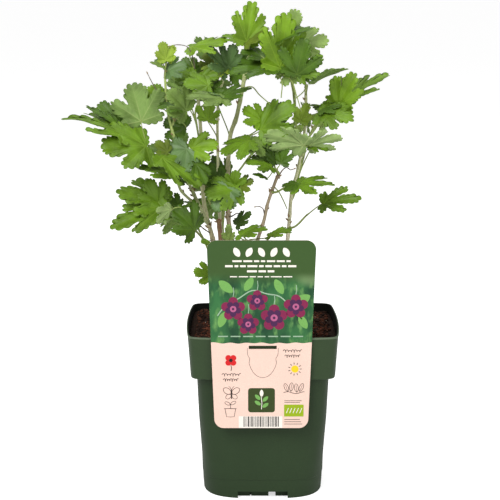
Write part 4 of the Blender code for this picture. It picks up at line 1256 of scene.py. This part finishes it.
@dataclass(frozen=True)
class Pot:
    """The square pot with its collar, foot slots and drain holes."""

    height: float = 145.6
    collar_foot: float = 108.6
    floor_underside: float = 6.5
    floor_top: float = 8.5
    ring_points: int = 192
    slot: Point = (42.8, 6.2, 9.0)
    slot_end: float = 53.0
    foot_pads: tuple[Pair, ...] = ((-22.0, -10.9), (-9.9, 5.0), (11.0, 22.0))
    foot_pad_reach: float = 45.0
    foot_pad_top: float = 7.4
    drain_hole: Pair = (4.5, 34.0)
    finish: Surface = Surface("pot_plastic", (47, 65, 38), 0.5, 0.07, 24.0, 1500.0, 0.12, specular=0.24)
    # Painted shade: the inside wall and the floor's top take a near-black copy of the pot's green plastic,
    # standing in for the shade inside the pot.
    inside: Surface = Surface("pot_inside_painted_shade", (15, 16, 11), 0.8, 0.25, 60.0, 1500.0, 0.2, specular=0.12)
    # Painted shade: the body below the collar, its bottom cap and the foot pads take a darker copy of the
    # collar's plastic, standing in for the shade below the collar.
    body: Surface = Surface("pot_body_painted_shade", (41, 58, 34), 0.54, 0.07, 24.0, 1500.0, 0.12, specular=0.2)
    # Painted highlight: a lighter copy of the plastic on the outer lip of the rim stands in for the light
    # that the rim's top edge catches.
    lip_painted_highlight: Surface = Surface("pot_lip_painted_highlight", (84, 98, 76), 0.42, 0.1, 60.0, 1500.0, 0.1, specular=0.3)

    def levels(self) -> list[tuple[float, float, float, float, int]]:
        """Return half-width, corner exponent, bulge, height and material of each ring, outside first."""
        foot, top = self.collar_foot, self.height
        # Rings of the body take material 2, the darker painted-shade copy of the plastic.
        body = ((49.4, 3.3, self.floor_underside), (50.0, 3.3, 0.3), (50.3, 3.3, 0.0), (51.7, 3.3, 0.0),
                (52.0, 3.3, 0.3), (52.2, 3.5, 5.0), (52.5, 3.9, 16.3), (52.8, 3.95, 16.7), (52.85, 4.0, 17.6),
                (53.1, 4.5, 32.0), (55.3, 6.2, 68.0), (56.7, 8.5, foot - 2.0), (56.9, 8.7, foot - 0.9))
        collar = ((57.4, 9.5, 0, foot - 0.35, 0), (60.2, 15.0, 0.02, foot - 0.1, 0),
                  (60.8, 16.0, 0.02, foot + 0.2, 0), (61.0, 16.0, 0.02, foot + 1.0, 0),
                  # The three rings just below the top take material 3, the lip's painted highlight.
                  (62.4, 20.0, 0.05, top - 2.4, 0), (62.7, 20.0, 0.05, top - 1.5, 3),
                  (62.8, 20.0, 0.05, top - 0.6, 3), (62.6, 20.0, 0.05, top - 0.15, 3),
                  (62.3, 20.0, 0.05, top, 0))
        # Rings of the inside wall take material 1, the near-black painted shade.
        inside = ((61.7, 20.0, 0.05, top), (61.4, 20.0, 0.05, top - 0.3), (59.5, 16.0, 0.02, foot + 1.8),
                  (58.8, 15.0, 0.02, foot + 1.3), (56.0, 9.0, 0, foot + 1.2), (55.4, 8.5, 0, foot + 0.6),
                  (54.0, 6.2, 0, 68.0), (51.8, 4.5, 0, 32.0), (50.7, 3.5, 0, 9.5),
                  (49.8, 3.5, 0, self.floor_top))
        return [*((half, exponent, 0, z, 2) for half, exponent, z in body), *collar,
                *((*level, 1) for level in inside)]

    def build(self, groups: SharedGroups) -> None:
        """Build and dress the pot.

        Args:
            groups: The shared node groups.
        """
        rings = [square_ring(*level[:4], self.ring_points) for level in self.levels()]
        shell = Builder()
        shell.add(*lofted(rings))
        half = self.slot[0] / 2
        tool = Builder()
        for side in (-1, 1):
            near, far = sorted((side * (self.slot_end - self.slot[2]), side * self.slot_end))
            add_box(tool, (-half, near, -1), (half, far, self.slot[1]))
            add_box(tool, (near, -half, -1), (far, half, self.slot[1]))
            for other in (-1, 1):
                self._drain_hole(tool, side, other)
        for number, level in enumerate(self.levels()[:-1]):
            for face in range(number * self.ring_points, (number + 1) * self.ring_points):
                shell.slots[face] = level[4]
        # The bottom cap takes the body's painted shade, and the floor's top takes the inside's painted shade.
        shell.slots[-2:] = [2, 1]
        materials = [finish.material(groups) for finish in (self.finish, self.inside, self.body, self.lip_painted_highlight)]
        made = shell.piece("pot_shell", materials, "pot_plastic", ("pot",))
        cut(made, tool.plain("slots"))
        made.data.set_sharp_from_angle(angle=math.radians(35))
        pads = Builder()
        for left, right in self.foot_pads:
            add_box(pads, (left, -self.foot_pad_reach, 0.0), (right, self.foot_pad_reach, self.foot_pad_top))
        web = self.foot_pad_reach - 1.5
        add_box(pads, (-11.5, -web, 0.4), (-9.5, web, self.foot_pad_top))
        # The foot pads take the body's painted-shade plastic.
        made = pads.piece("pot_foot_pads", [bpy.data.materials[self.body.name]], "pot_plastic", ("pot",))
        for face in made.data.polygons:
            face.use_smooth = False

    def _drain_hole(self, tool: Builder, side: int, other: int) -> None:
        """Add the cutter of one drain hole, in one corner of the floor."""
        radius, place = self.drain_hole
        turn = np.arange(32) * math.pi / 16
        flat = [side * place + radius * np.cos(turn), other * place + radius * np.sin(turn)]
        levels = (self.floor_underside - 1, self.floor_top + 1)
        tool.add(*lofted([np.column_stack([*flat, np.full(32, z)]) for z in levels]))


@dataclass(frozen=True)
class Soil:
    """Peat with crumbs, fibres and white specks, a little below the rim."""

    top: float = 138.6
    edge: float = 137.4
    half: float = 60.5
    ring_points: int = 160
    rings: int = 46
    crumbs: int = 2200
    fibres: int = 620
    specks: int = 70
    crumb_sizes: Pair = (0.5, 1.0)
    crumb_scale: float = 2.4
    speck_sizes: Pair = (0.35, 0.7)
    crumb_levels: Point = (-0.8, -0.1, 0.55)
    crumb_sides: int = 5
    jags: Pair = (0.7, 1.25)
    flat: float = 0.8
    heaps: tuple[Point, ...] = ((1.5, 0.035, 3.0), (0.9, 0.16, 8.0))
    back_heap: Pair = (1.6, 0.4)
    fibre_steps: Pair = (0.8, 2.0)
    fibre_radii: Pair = (0.12, 0.26)
    fibre_taper: tuple[float, ...] = (0.5, 1, 1, 1, 1, 0.3)
    wall: tuple[tuple, ...] = ((50.0, 3.5, 0, 9.0), (51.4, 4.5, 0, 32.4), (53.6, 6.2, 0, 68.4),
                               (55.0, 8.5, 0, 110.2), (59.0, 16.0, 0.02, 110.8))
    peat: Surface = Surface("peat", (42, 26, 19), 0.95, 0.4, 160.0, 1800.0, 0.9, specular=0.15)
    brown: Surface = Surface("peat_brown", (84, 49, 34), 0.95, 0.35, 300.0, 2200.0, 0.6, specular=0.15)
    fibre: Surface = Surface("coir_fibre", (126, 72, 50), 0.9, 0.35, 400.0, 2600.0, 0.3, specular=0.2)
    speck: Surface = Surface("white_speck", (206, 196, 178), 0.8, 0.1, 400.0, 2600.0, 0.3)

    def rise(self, x: float, y: float) -> float:
        """Return the height of the soil's surface at a place."""
        edge = max(abs(x), abs(y)) / self.half
        heap = sum(height * wobble((x * pitch, y * pitch, level)) for height, pitch, level in self.heaps)
        high, side = self.back_heap
        back = high * max(0.0, y / self.half) * max(0.0, side - x / self.half)
        return self.top + heap + back - (self.top - self.edge) * edge ** 6

    def build(self, groups: SharedGroups) -> None:
        """Build and dress the soil.

        Args:
            groups: The shared node groups.
        """
        materials = [finish.material(groups) for finish in (self.peat, self.brown, self.fibre, self.speck)]
        bed = Builder()
        rings = [square_ring(*level, self.ring_points) for level in self.wall]
        for ring in range(self.rings):
            share = 1 - ring / self.rings
            flat = square_ring(self.half * share, 2 + 17 * share ** 3, 0.044 * share, 0, self.ring_points)
            for point in flat:
                point[2] = self.rise(point[0], point[1]) + 0.5 * wobble((point[0], point[1], 0.0))
            rings.append(flat)
        bed.add(*lofted(rings))
        bed.piece("soil_bed", materials[:1], "peat", ("soil",))
        rng = random.Random("soil")
        crumbs, specks = Builder(), Builder()
        for _ in range(self.crumbs):
            size = rng.uniform(*self.crumb_sizes) ** 2 * self.crumb_scale
            self._crumb(crumbs, rng, size, rng.choice((0, 0, 1)))
        for _ in range(self.specks):
            self._crumb(specks, rng, rng.uniform(*self.speck_sizes), 0)
        crumbs.piece("soil_crumbs", materials[:2], "peat")
        specks.piece("soil_specks", materials[3:], "peat")
        fibres = Builder()
        for _ in range(self.fibres):
            self._fibre(fibres, rng)
        fibres.piece("soil_fibres", [materials[2]], "peat")

    def _place(self, rng: random.Random, margin: float) -> Pair:
        """Draw a place on the soil, clear of the wall by a margin."""
        span = self.half - margin
        return rng.uniform(-span, span), rng.uniform(-span, span)

    def _crumb(self, builder: Builder, rng: random.Random, size: float, slot: int) -> None:
        """Add one lump with an uneven surface.

        Args:
            builder: The piece that it joins.
            rng: The random numbers of the soil.
            size: Its radius.
            slot: Which material it takes.
        """
        x, y = self._place(rng, 2.5)
        first, lean = rng.uniform(0, math.tau), rng.uniform(0, math.tau)
        rings = []
        for level in self.crumb_levels:
            spread = math.sqrt(1 - level * level) * size
            turn = np.arange(self.crumb_sides) * math.tau / self.crumb_sides + first + level
            jag = np.array([rng.uniform(*self.jags) for _ in turn])
            reach = jag * spread
            rings.append(np.column_stack([np.cos(turn) * reach, np.sin(turn) * reach * self.flat,
                                          np.full(self.crumb_sides, level * size * self.flat)]))
        points, faces = lofted(rings)
        tilt = math.sin(lean) * 0.6
        points = points @ np.array([[1, 0, tilt], [0, 1, 0], [-tilt, 0, 1]])
        builder.add(points + np.array([x, y, self.rise(x, y) + size * 0.25]), faces, slot)

    def _fibre(self, builder: Builder, rng: random.Random) -> None:
        """Add one thin curled fibre that lies on the soil."""
        x, y = self._place(rng, 9.0)
        turn, bend = rng.uniform(0, math.tau), rng.uniform(-0.5, 0.5)
        step = rng.uniform(*self.fibre_steps)
        path = []
        for i in range(6):
            lift = 0.5 + 0.9 * math.sin(i / 5 * math.pi) * rng.uniform(0.2, 1.0)
            path.append(Vector((x, y, self.rise(x, y) + lift)))
            x, y = x + math.cos(turn) * step, y + math.sin(turn) * step
            turn += bend
        radius = rng.uniform(*self.fibre_radii)
        builder.add(*swept(path, np.array(self.fibre_taper) * radius, 4))


@dataclass(frozen=True)
class Print:
    """One printed colour on the card."""

    name: str
    rgb: Rgb
    roughness: float = 0.38

    def material(self, groups: SharedGroups) -> bpy.types.Material:
        """Build the material of even ink on satin card, and return it."""
        finish = Surface(self.name, self.rgb, self.roughness, 0.03, 40.0, 1500.0, 0.03, specular=0.22)
        return finish.material(groups)


class Ink(Enum):
    """The printed colours."""

    CREAM = Print("card_cream", (233, 201, 186))
    WHITE = Print("ink_white", (238, 230, 220))
    BLACK = Print("ink_black", (30, 26, 24))
    LINE = Print("ink_line", (58, 46, 42))
    RED = Print("ink_red", (206, 34, 36))
    YELLOW = Print("ink_yellow", (236, 200, 40))
    DARK_GREEN = Print("ink_dark_green", (52, 66, 28))
    LIME = Print("ink_lime", (146, 170, 24))
    LEAF = Print("ink_leaf", (112, 164, 84))
    PLUM = Print("ink_plum", (126, 34, 72))
    PLUM_DARK = Print("ink_plum_dark", (72, 34, 74))
    PLUM_LIGHT = Print("ink_plum_light", (176, 92, 132))
    STEM = Print("ink_stem", (150, 176, 150))


@dataclass(frozen=True)
class MeadowPicture:
    """The soft green picture panel that fades into a dark head."""

    head: Rgb = (56, 82, 38)
    greens: tuple[Rgb, ...] = ((24, 62, 40), (52, 108, 60), (104, 152, 84), (160, 188, 132))
    fades: tuple[float, float] = (188.0, 203.0)

    def material(self, groups: SharedGroups) -> bpy.types.Material:
        """Build the material.

        Args:
            groups: The shared node groups.

        Returns:
            The new material.
        """
        look = Material("picture_panel")
        patch, grain = look.grain(groups, 42.0, 90.0, (1.6, 1.0, 0.8))
        dark, green, light, pale = (linear(rgb) for rgb in self.greens)
        colour = look.mix(patch, dark, green)
        colour = look.mix(look.between(grain, 0.5, 0.75), colour, light)
        soft = look.noise(look.place, 26.0, 0.0)
        colour = look.mix(look.between(soft, 0.6, 0.78), colour, pale)
        head = look.between(look.height(), self.fades[0] * MM, self.fades[1] * MM)
        return look.dress(look.mix(head, colour, linear(self.head)), 0.38, 0.22)


def turned(at: Pair, turn: float, x: float, z: float) -> Pair:
    """Return a point that is turned by an angle in degrees and then moved to a place."""
    lean = math.radians(turn)
    return at[0] + x * math.cos(lean) - z * math.sin(lean), at[1] + x * math.sin(lean) + z * math.cos(lean)


def oval(at: Pair, radii: Pair, turn: float = 0.0, points: int = 40) -> list[Pair]:
    """Return the outline of an ellipse turned by an angle in degrees; a 41st point closes it."""
    turns = [k * math.tau / 40 for k in range(points)]
    return [turned(at, turn, radii[0] * math.cos(t), radii[1] * math.sin(t)) for t in turns]


def rounded(corners: tuple[Pair, ...], radius: float, steps: int) -> list[Pair]:
    """Return the outline of quarter arcs about four centres, from the upper right one against the clock."""
    line = []
    for number, (x, z) in enumerate(corners):
        for step in range(steps + 1):
            turn = math.radians(90 * number + step * 90 / steps)
            line.append((x + radius * math.cos(turn), z + radius * math.sin(turn)))
    return line


@dataclass
class Label:
    """The card that hangs over the rim, and the plain design printed on it."""

    foot: float = 68.0
    head: float = 229.0
    foot_half: float = 39.5
    head_half: float = 45.0
    centre: float = -1.5
    corner: float = 8.0
    thickness: float = 0.7
    front: float = -66.8
    hook_width: float = 22.0
    hook_back: float = -62.3
    hook_foot: float = 139.7
    hook_top: float = 145.9
    hook_half: float = 0.3
    bevel: float = 0.12
    slot: tuple[float, float, float, float] = (-12.0, 11.3, 136.7, 139.6)
    panel_foot: float = 142.0
    layer: float = 0.04
    inks: dict[Ink, bpy.types.Material] = field(default_factory=dict)
    sheets: dict[tuple[Ink, int], Builder] = field(default_factory=dict)

    HEAD_LINES = ((211.5, 24.0, 1.5), (207.3, 30.0, 1.7), (203.0, 12.0, 1.7), (198.4, 26.0, 0.9))
    HEAD_DASHES, HEAD_GAP, HEAD_MARKS = (3.0, 9.0), 1.4, 219.0
    PICTURE_LEAVES = ((-31, 190, 140, 15), (-12, 192, 60, 13), (13, 190, 118, 14), (31, 178, 30, 18),
                      (-34, 162, 250, 14), (33, 160, 300, 13))
    BLOSSOMS = ((-25, 171, 10.2), (-5, 178, 9.0), (9, 163.5, 11.4), (27, 173, 10.4), (-12.5, 158, 9.2))
    SCRIBBLES = ((-34, 114.5, 15), (-33, 110, 12), (17, 135, 15), (18.5, 130.6, 12))
    SPRIG = ((88, 35, 1), (90, 145, -1), (93.5, 45, 1), (95, 135, -1), (98.5, 90, 0))
    FINE_LINES = (92.0, 90.6, 75.6, 73.6, 71.6)
    BAR_WIDTHS, BAR_GAPS = (0.35, 0.35, 0.7, 1.05), (0.35, 0.7, 0.7)
    BAR_ENDS, BAR_LEVELS = (-16.5, 13.2), (69.2, 78.2)

    def half_at(self, z: float) -> float:
        """Return the card's half-width at a height."""
        share = (z - self.foot) / (self.head - self.foot)
        return self.foot_half + share * (self.head_half - self.foot_half)

    def outline(self, inset: float = 0.0) -> list[Pair]:
        """Return the card's outline with arcs at its corners, as (x, z)."""
        middle = (self.foot + self.head) / 2
        corners = ((self.head_half, self.head), (-self.head_half, self.head),
                   (-self.foot_half, self.foot), (self.foot_half, self.foot))
        centres = tuple((self.centre + x - math.copysign(self.corner, x),
                         z - math.copysign(self.corner, z - middle)) for x, z in corners)
        return rounded(centres, self.corner - inset, 12)

    def build(self, groups: SharedGroups) -> None:
        """Build the card, its hook and its print.

        Args:
            groups: The shared node groups.
        """
        self.inks = {ink: ink.value.material(groups) for ink in Ink}
        self._card()
        self._picture(MeadowPicture().material(groups))
        self._head_ornament()
        self._blossoms()
        self._doodles()
        for (ink, layer), sheet in self.sheets.items():
            sheet.piece(f"print_{ink.name.lower()}_{layer}", [self.inks[ink]], "label_card")

    def _card(self) -> None:
        """Make the card with its slot, and the hook over the rim."""
        back, bevel = self.front + self.thickness, self.bevel
        levels = ((self.front, bevel), (self.front + bevel, 0), (back - bevel, 0), (back, bevel))
        card = Builder()
        card.add(*lofted([np.array([(x, y, z) for x, z in self.outline(inset)]) for y, inset in levels]))
        made = card.piece("label_card", [self.inks[Ink.CREAM]], "label_card", ("label",))
        left, right, foot, head = self.slot
        tool = Builder()
        add_box(tool, (left, self.front - 1, foot), (right, back + 1, head))
        cut(made, tool.plain("slot"))
        made.data.set_sharp_from_angle(angle=math.radians(40))
        half, near, top = self.hook_width / 2, self.hook_back, self.hook_top
        strip = ((back - 0.2, top - 0.9, 0, 1), (back + 0.3, top, -0.7, 0.7), (back + 0.8, top + 0.35, 0, 1),
                 (near - 0.9, top + 0.35, 0, 1), (near - 0.4, top, 0.7, 0.7),
                 (near - 0.35, self.hook_foot, 1, 0))
        corners = ((-half, -1), (half, -1), (half, 1), (-half, 1))
        rings = [np.array([(x, y + side * ny * self.hook_half, z + side * nz * self.hook_half)
                           for x, side in corners]) for y, z, ny, nz in strip]
        hook = Builder()
        hook.add(*lofted(rings))
        hook.piece("label_hook", [self.inks[Ink.CREAM]], "label_card", ("label",))

    def _sheet(self, ink: Ink, layer: int) -> Builder:
        """Return the builder of one colour on one layer, and start it if it is new."""
        return self.sheets.setdefault((ink, layer), Builder())

    def patch(self, ink: Ink, line: list[Pair], layer: int = 1) -> None:
        """Print a filled outline.

        Args:
            ink: Its colour.
            line: Its outline as (x, z), either way round.
            layer: How many layers it lies over the card.
        """
        area = sum(a[0] * b[1] - b[0] * a[1] for a, b in zip(line, line[1:] + line[:1]))
        turned = line if area > 0 else line[::-1]
        y = self.front - self.layer * layer
        points = np.array([(x, y, z) for x, z in turned])
        self._sheet(ink, layer).add(points, [tuple(range(len(turned)))])

    def disc(self, ink: Ink, at: Pair, radius: float, layer: int = 1) -> None:
        """Print a filled circle."""
        self.patch(ink, oval(at, (radius, radius)), layer)

    def stroke(self, ink: Ink, line: list[Pair], width: float, layer: int = 1) -> None:
        """Print a line of some width."""
        path = np.array(line, float)
        ahead = np.gradient(path, axis=0)
        side = np.stack([-ahead[:, 1], ahead[:, 0]], 1) / np.linalg.norm(ahead, axis=1)[:, None] * width / 2
        edge = np.vstack([path + side, path - side])
        y = self.front - self.layer * layer
        points = np.column_stack([edge[:, 0], np.full(len(edge), y), edge[:, 1]])
        count = len(path)
        faces = [(k, k + 1, count + k + 1, count + k) for k in range(count - 1)]
        ring = [points[k] for k in faces[0]]
        normal = np.cross(ring[1] - ring[0], ring[2] - ring[0])
        if normal[1] > 0:
            faces = [tuple(reversed(face)) for face in faces]
        self._sheet(ink, layer).add(points, faces)

    def ring(self, ink: Ink, at: Pair, radii: Pair, turn: float, width: float) -> None:
        """Print the outline of an ellipse, turned by an angle in degrees."""
        self.stroke(ink, oval(at, radii, turn, 41), width)

    def strokes(self, ink: Ink, at: Pair, *lines: tuple) -> None:
        """Print lines about a place, each given as its width and its points."""
        for width, *line in lines:
            self.stroke(ink, [(at[0] + x, at[1] + z) for x, z in line], width)

    def _picture(self, material: bpy.types.Material) -> None:
        """Lay the head and the picture panel over the card's upper part, with a torn lower edge."""
        line = [(x, z) for x, z in self.outline(0.02) if z > self.head - self.corner - 0.1]
        foot = []
        for k in range(61):
            share = k / 60
            half = self.half_at(self.panel_foot) - 0.02
            x = self.centre - half + 2 * half * share
            rise = 0.8 * wobble((share * 9, 1.7, 0.0)) + 0.3 * math.sin(share * 40)
            foot.append((x, self.panel_foot + rise))
        builder = Builder()
        points = np.array([(x, self.front - self.layer / 2, z) for x, z in line + foot])
        builder.add(points, [tuple(range(len(points)))])
        made = builder.piece("print_picture", [material], "label_card")
        if made.data.polygons[0].normal.y > 0:
            made.data.flip_normals()

    def _head_ornament(self) -> None:
        """Print rows of plain dashes and a row of leaf marks across the head."""
        rng = random.Random("head")
        for k in range(5):
            at = (self.centre + (k - 2) * 10.2, self.HEAD_MARKS)
            self._leaf_mark(Ink.WHITE, at, 8.6, 60 if k % 2 else 120, 2, 0.6)
        for z, half, width in self.HEAD_LINES:
            x = self.centre - half
            while x < self.centre + half - 2:
                length = min(rng.uniform(*self.HEAD_DASHES), self.centre + half - x)
                self.stroke(Ink.WHITE, [(x, z), (x + length / 2, z), (x + length, z)], width, 2)
                x += length + self.HEAD_GAP
        for k in range(7):
            x = self.centre - 36 + 10.4 * k
            self.stroke(Ink.STEM, [(x, 147.6), (x + 4, 147.6), (x + 8.2, 147.6)], 1.0, 2)

    def _leaf_mark(self, ink: Ink, at: Pair, length: float, turn: float, layer: int,
                   plump: float = 0.42) -> None:
        """Print a pointed leaf centred on a place, turned by an angle in degrees."""
        line = []
        for k in range(24):
            t = k / 24 * math.tau
            off = math.sin(t) * abs(math.sin(t)) ** 0.4 * length * plump / 2
            line.append(turned(at, turn, math.cos(t) * length / 2, off))
        self.patch(ink, line, layer)

    def _blossoms(self) -> None:
        """Print a spray of plum-coloured blossoms with leaves in the picture panel."""
        arc = [(-38 + run, 186 - 0.018 * (run - 34) ** 2 + 1.2 * math.sin(k * 0.7))
               for k, run in enumerate(k * 2.6 for k in range(28))]
        self.stroke(Ink.STEM, arc, 1.0, 2)
        for x, z, turn, length in self.PICTURE_LEAVES:
            self._leaf_mark(Ink.LEAF, (x, z), length, turn, 2, 0.5)
        for x, z, size in self.BLOSSOMS:
            self.stroke(Ink.STEM, [(x, z + size), (x + 0.6, z + size + 4), (x + 0.2, z + size + 8)], 0.6, 2)
            self._flower(Ink.PLUM, (x, z), size, 5, 90, 3)
            self._flower(Ink.PLUM_DARK, (x, z), 0.66 * size, 5, 126, 4)
            self.disc(Ink.PLUM_LIGHT, (x, z), 0.26 * size, 5)
            self.disc(Ink.PLUM_DARK, (x, z), 0.1 * size, 6)

    def _flower(self, ink: Ink, at: Pair, reach: float, petals: int, turn: float, layer: int) -> None:
        """Print a filled flower with round petals, turned by an angle in degrees."""
        line = []
        for k in range(16 * petals):
            angle = k * math.tau / (16 * petals)
            out = reach * (0.62 + 0.38 * abs(math.cos(petals * (angle - math.radians(turn)) / 2)) ** 0.7)
            line.append((at[0] + out * math.cos(angle), at[1] + out * math.sin(angle)))
        self.patch(ink, line, layer)

    def _doodles(self) -> None:
        """Print the small drawings, the plain bars and the plain squares of the lower part."""
        self._tear_line()
        self._poppy((-27, 127))
        for x, z, length in self.SCRIBBLES:
            self._scribble(x, z, length)
        self._butterfly((-26.5, 98))
        self._sprout((-27.5, 83))
        self._sun((26.5, 119.5))
        self._branch(17, 101)
        self._badge()
        self._bars()

    def _poppy(self, at: Pair) -> None:
        """Print a red flower on a short stalk."""
        self.strokes(Ink.BLACK, at, (0.6, (0, -4), (0.6, -6.5), (0.2, -9)))
        self._flower(Ink.RED, at, 5.4, 4, 45, 2)
        self._flower(Ink.BLACK, at, 1.7, 6, 0, 3)

    def _butterfly(self, at: Pair) -> None:
        """Print the outline of a butterfly."""
        for side in (-1, 1):
            self.ring(Ink.LINE, (at[0] + side * 3.6, at[1] + 2.4), (3.6, 2.4), side * 38, 0.45)
            self.ring(Ink.LINE, (at[0] + side * 2.6, at[1] - 2.4), (2.5, 1.8), side * -40, 0.4)
            self.strokes(Ink.LINE, at, (0.4, (0, 3.4), (side * 1.2, 5.6), (side * 2.4, 6.4)))
        self.strokes(Ink.LINE, at, (0.9, (0, -4.4), (0, 0), (0, 3.6)))

    def _sun(self, at: Pair) -> None:
        """Print a yellow sun with dark rays."""
        self.disc(Ink.YELLOW, at, 3.1)
        for k in range(11):
            turn = k * math.tau / 11
            ray = [(r * math.cos(turn), r * math.sin(turn)) for r in (4.0, 4.8, 5.7)]
            self.strokes(Ink.BLACK, at, (0.55, *ray))

    def _branch(self, x: float, z: float) -> None:
        """Print the outline of a lying twig with upright leaves."""
        self.stroke(Ink.LINE, [(x + 1.1 * k, z - 2 + 0.8 * math.sin(k * 0.5)) for k in range(17)], 0.5)
        for k, turn in enumerate((112, 84, 96, 68)):
            at = (x + 2.4 + 4.2 * k, z + 2.6 + 0.5 * math.sin(k * 2.1))
            self.ring(Ink.LINE, at, (3.5, 1.6), turn, 0.42)
            self.stroke(Ink.LINE, [turned(at, turn, r, 0.0) for r in (-4.4, 0, 2.2)], 0.3)

    def _tear_line(self) -> None:
        """Print the thin outline of a tab below the slot."""
        left, right = self.slot[0] - 1.0, self.slot[1] + 1.0
        line = []
        for k in range(61):
            turn = math.pi * k / 60
            pinch = 1.0 - 0.1 * math.exp(-((math.sin(turn) - 0.28) / 0.09) ** 2)
            wide = 1 if 4 < k < 56 else 1.02
            x = (left + right) / 2 - (right - left) / 2 * math.cos(turn) * pinch * wide
            line.append((x, 137.6 - 25.5 * math.sin(turn) ** 0.8))
        self.stroke(Ink.LINE, line, 0.34)

    def _scribble(self, x: float, z: float, length: float) -> None:
        """Print a plain wavy line."""
        line = []
        for k in range(81):
            rise = 1.3 * math.sin(k * 0.5) * (0.7 + 0.3 * math.sin(k * 0.17))
            line.append((x + length * k / 80 - 0.5 * math.cos(k * 0.5), z + rise))
        self.stroke(Ink.BLACK, line, 0.5)

    def _sprout(self, at: Pair) -> None:
        """Print the outline of a small pot with a sprout."""
        self.strokes(Ink.LINE, at, (0.45, (-4.5, 2), (-3.2, -5), (0, -5.2), (3.2, -5), (4.5, 2)),
                     (0.5, (-5.2, 2), (0, 2.1), (5.2, 2)), (0.45, (0, 2), (0.3, 4), (0, 6)))
        self.ring(Ink.LINE, (at[0] - 2.4, at[1] + 6.6), (2.4, 1.2), -25, 0.42)
        self.ring(Ink.LINE, (at[0] + 2.5, at[1] + 7.0), (2.4, 1.2), 30, 0.42)

    def _rectangle(self, ink: Ink, low: Pair, high: Pair, radius: float) -> None:
        """Print a rectangle with round corners."""
        left, right, foot, head = low[0] + radius, high[0] - radius, low[1] + radius, high[1] - radius
        self.patch(ink, rounded(((right, head), (left, head), (left, foot), (right, foot)), radius, 6))

    def _badge(self) -> None:
        """Print the dark square with a sprig, the green oblong with slanted strokes, and thin lines."""
        self._rectangle(Ink.DARK_GREEN, (-12.6, 81.8), (9.9, 103.0), 2.4)
        self.stroke(Ink.WHITE, [(-1.4, 84.5), (-1.0, 90), (-1.6, 96)], 0.5, 2)
        for z, turn, side in self.SPRIG:
            self._leaf_mark(Ink.LEAF if side else Ink.WHITE, (-1.3 + side * 3.2, z), 6.2, turn, 2, 0.5)
        self._rectangle(Ink.LIME, (17.6, 78.2), (34.0, 88.6), 0.4)
        for k in range(5):
            x = 20.4 + 2.8 * k
            self.stroke(Ink.WHITE, [(x - 0.9, 81.2), (x, 83.4), (x + 0.9, 85.6)], 0.55, 2)
        for z in self.FINE_LINES:
            self.stroke(Ink.LINE, [(17.8, z), (24, z), (17.8 + 12.5 + (z % 3), z)], 0.45)

    def _bars(self) -> None:
        """Print a white strip with plain upright bars."""
        self._rectangle(Ink.WHITE, (-20.5, 68.2), (16.2, 78.4), 0.3)
        rng = random.Random("bars")
        (x, end), (foot, head) = self.BAR_ENDS, self.BAR_LEVELS
        while x < end:
            width = rng.choice(self.BAR_WIDTHS)
            self.patch(Ink.BLACK, [(x, foot), (x + width, foot), (x + width, head), (x, head)], 2)
            x += width + rng.choice(self.BAR_GAPS)


@dataclass(frozen=True)
class Studio:
    """The pale floor, the soft light and the camera."""

    camera_place: Point = (-11.0, -1300.0, 466.4)
    camera_down: float = 11.26
    lens: float = 110.1
    sensor: float = 36.0
    floor_half: float = 40000.0
    looks_at: Point = (0.0, 0.0, 210.0)
    white: tuple[float, ...] = (1.0, 1.0, 1.0, 1.0)
    pale: tuple[float, ...] = (0.86, 0.86, 0.86, 1.0)
    sky: float = 0.42
    glow: float = 0.62
    lights: tuple[tuple[str, Point, float, float], ...] = (
        ("key", (-750.0, -1250.0, 1450.0), 1000.0, 30.0),
        ("fill", (1200.0, -1100.0, 600.0), 1100.0, 9.0),
        ("top", (100.0, 350.0, 1650.0), 900.0, 8.0),
    )

    def build(self) -> None:
        """Set up the floor, the lights, the sky and the camera."""
        self._floor()
        for name, place, size, power in self.lights:
            self._light(name, place, size, power)
        world = bpy.data.worlds.new("sky")
        world.use_nodes = True
        background = world.node_tree.nodes["Background"]
        background.inputs["Color"].default_value = self.white
        background.inputs["Strength"].default_value = self.sky
        scene = bpy.context.scene
        scene.world = world
        scene.view_settings.view_transform = "Standard"
        data = bpy.data.cameras.new("camera")
        data.lens, data.sensor_width, data.clip_end = self.lens, self.sensor, 100.0
        camera = bpy.data.objects.new("camera", data)
        camera.location = Vector(self.camera_place) * MM
        camera.rotation_euler = (math.radians(90 - self.camera_down), 0, 0)
        scene.collection.objects.link(camera)
        scene.camera = camera

    def _floor(self) -> None:
        """Lay the floor, which glows a little where it is looked at."""
        half = self.floor_half
        corners = np.array([(-half, -half, 0), (half, -half, 0), (half, half, 0), (-half, half, 0)])
        sheet = Builder()
        sheet.add(corners, [(0, 1, 2, 3)])
        floor = sheet.plain("floor")
        look = Material("floor")
        seen = look.add("ShaderNodeLightPath").outputs["Is Camera Ray"]
        look.put(look.shader.inputs["Emission Color"], self.white)
        look.put(look.shader.inputs["Emission Strength"], look.math("MULTIPLY", seen, self.glow))
        floor.data.materials.append(look.dress(self.pale, 0.9, 0.1))

    def _light(self, name: str, place: Point, size: float, power: float) -> None:
        """Hang one square soft light that looks at the middle of the bush."""
        data = bpy.data.lights.new(name, "AREA")
        data.size, data.energy = size * MM, power
        light = bpy.data.objects.new(name, data)
        light.location = Vector(place) * MM
        light.rotation_euler = (Vector(self.looks_at) - Vector(place)).to_track_quat("-Z", "Y").to_euler()
        bpy.context.scene.collection.objects.link(light)


def main() -> None:
    """Load the frame, and build each sub-assembly round it."""
    logging.basicConfig(level=logging.INFO, format="%(message)s")
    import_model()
    groups = SharedGroups()
    Studio().build()
    Pot().build(groups)
    Soil().build(groups)
    Label().build(groups)
    Bush(groups).grow()


if __name__ == "__main__":
    main()
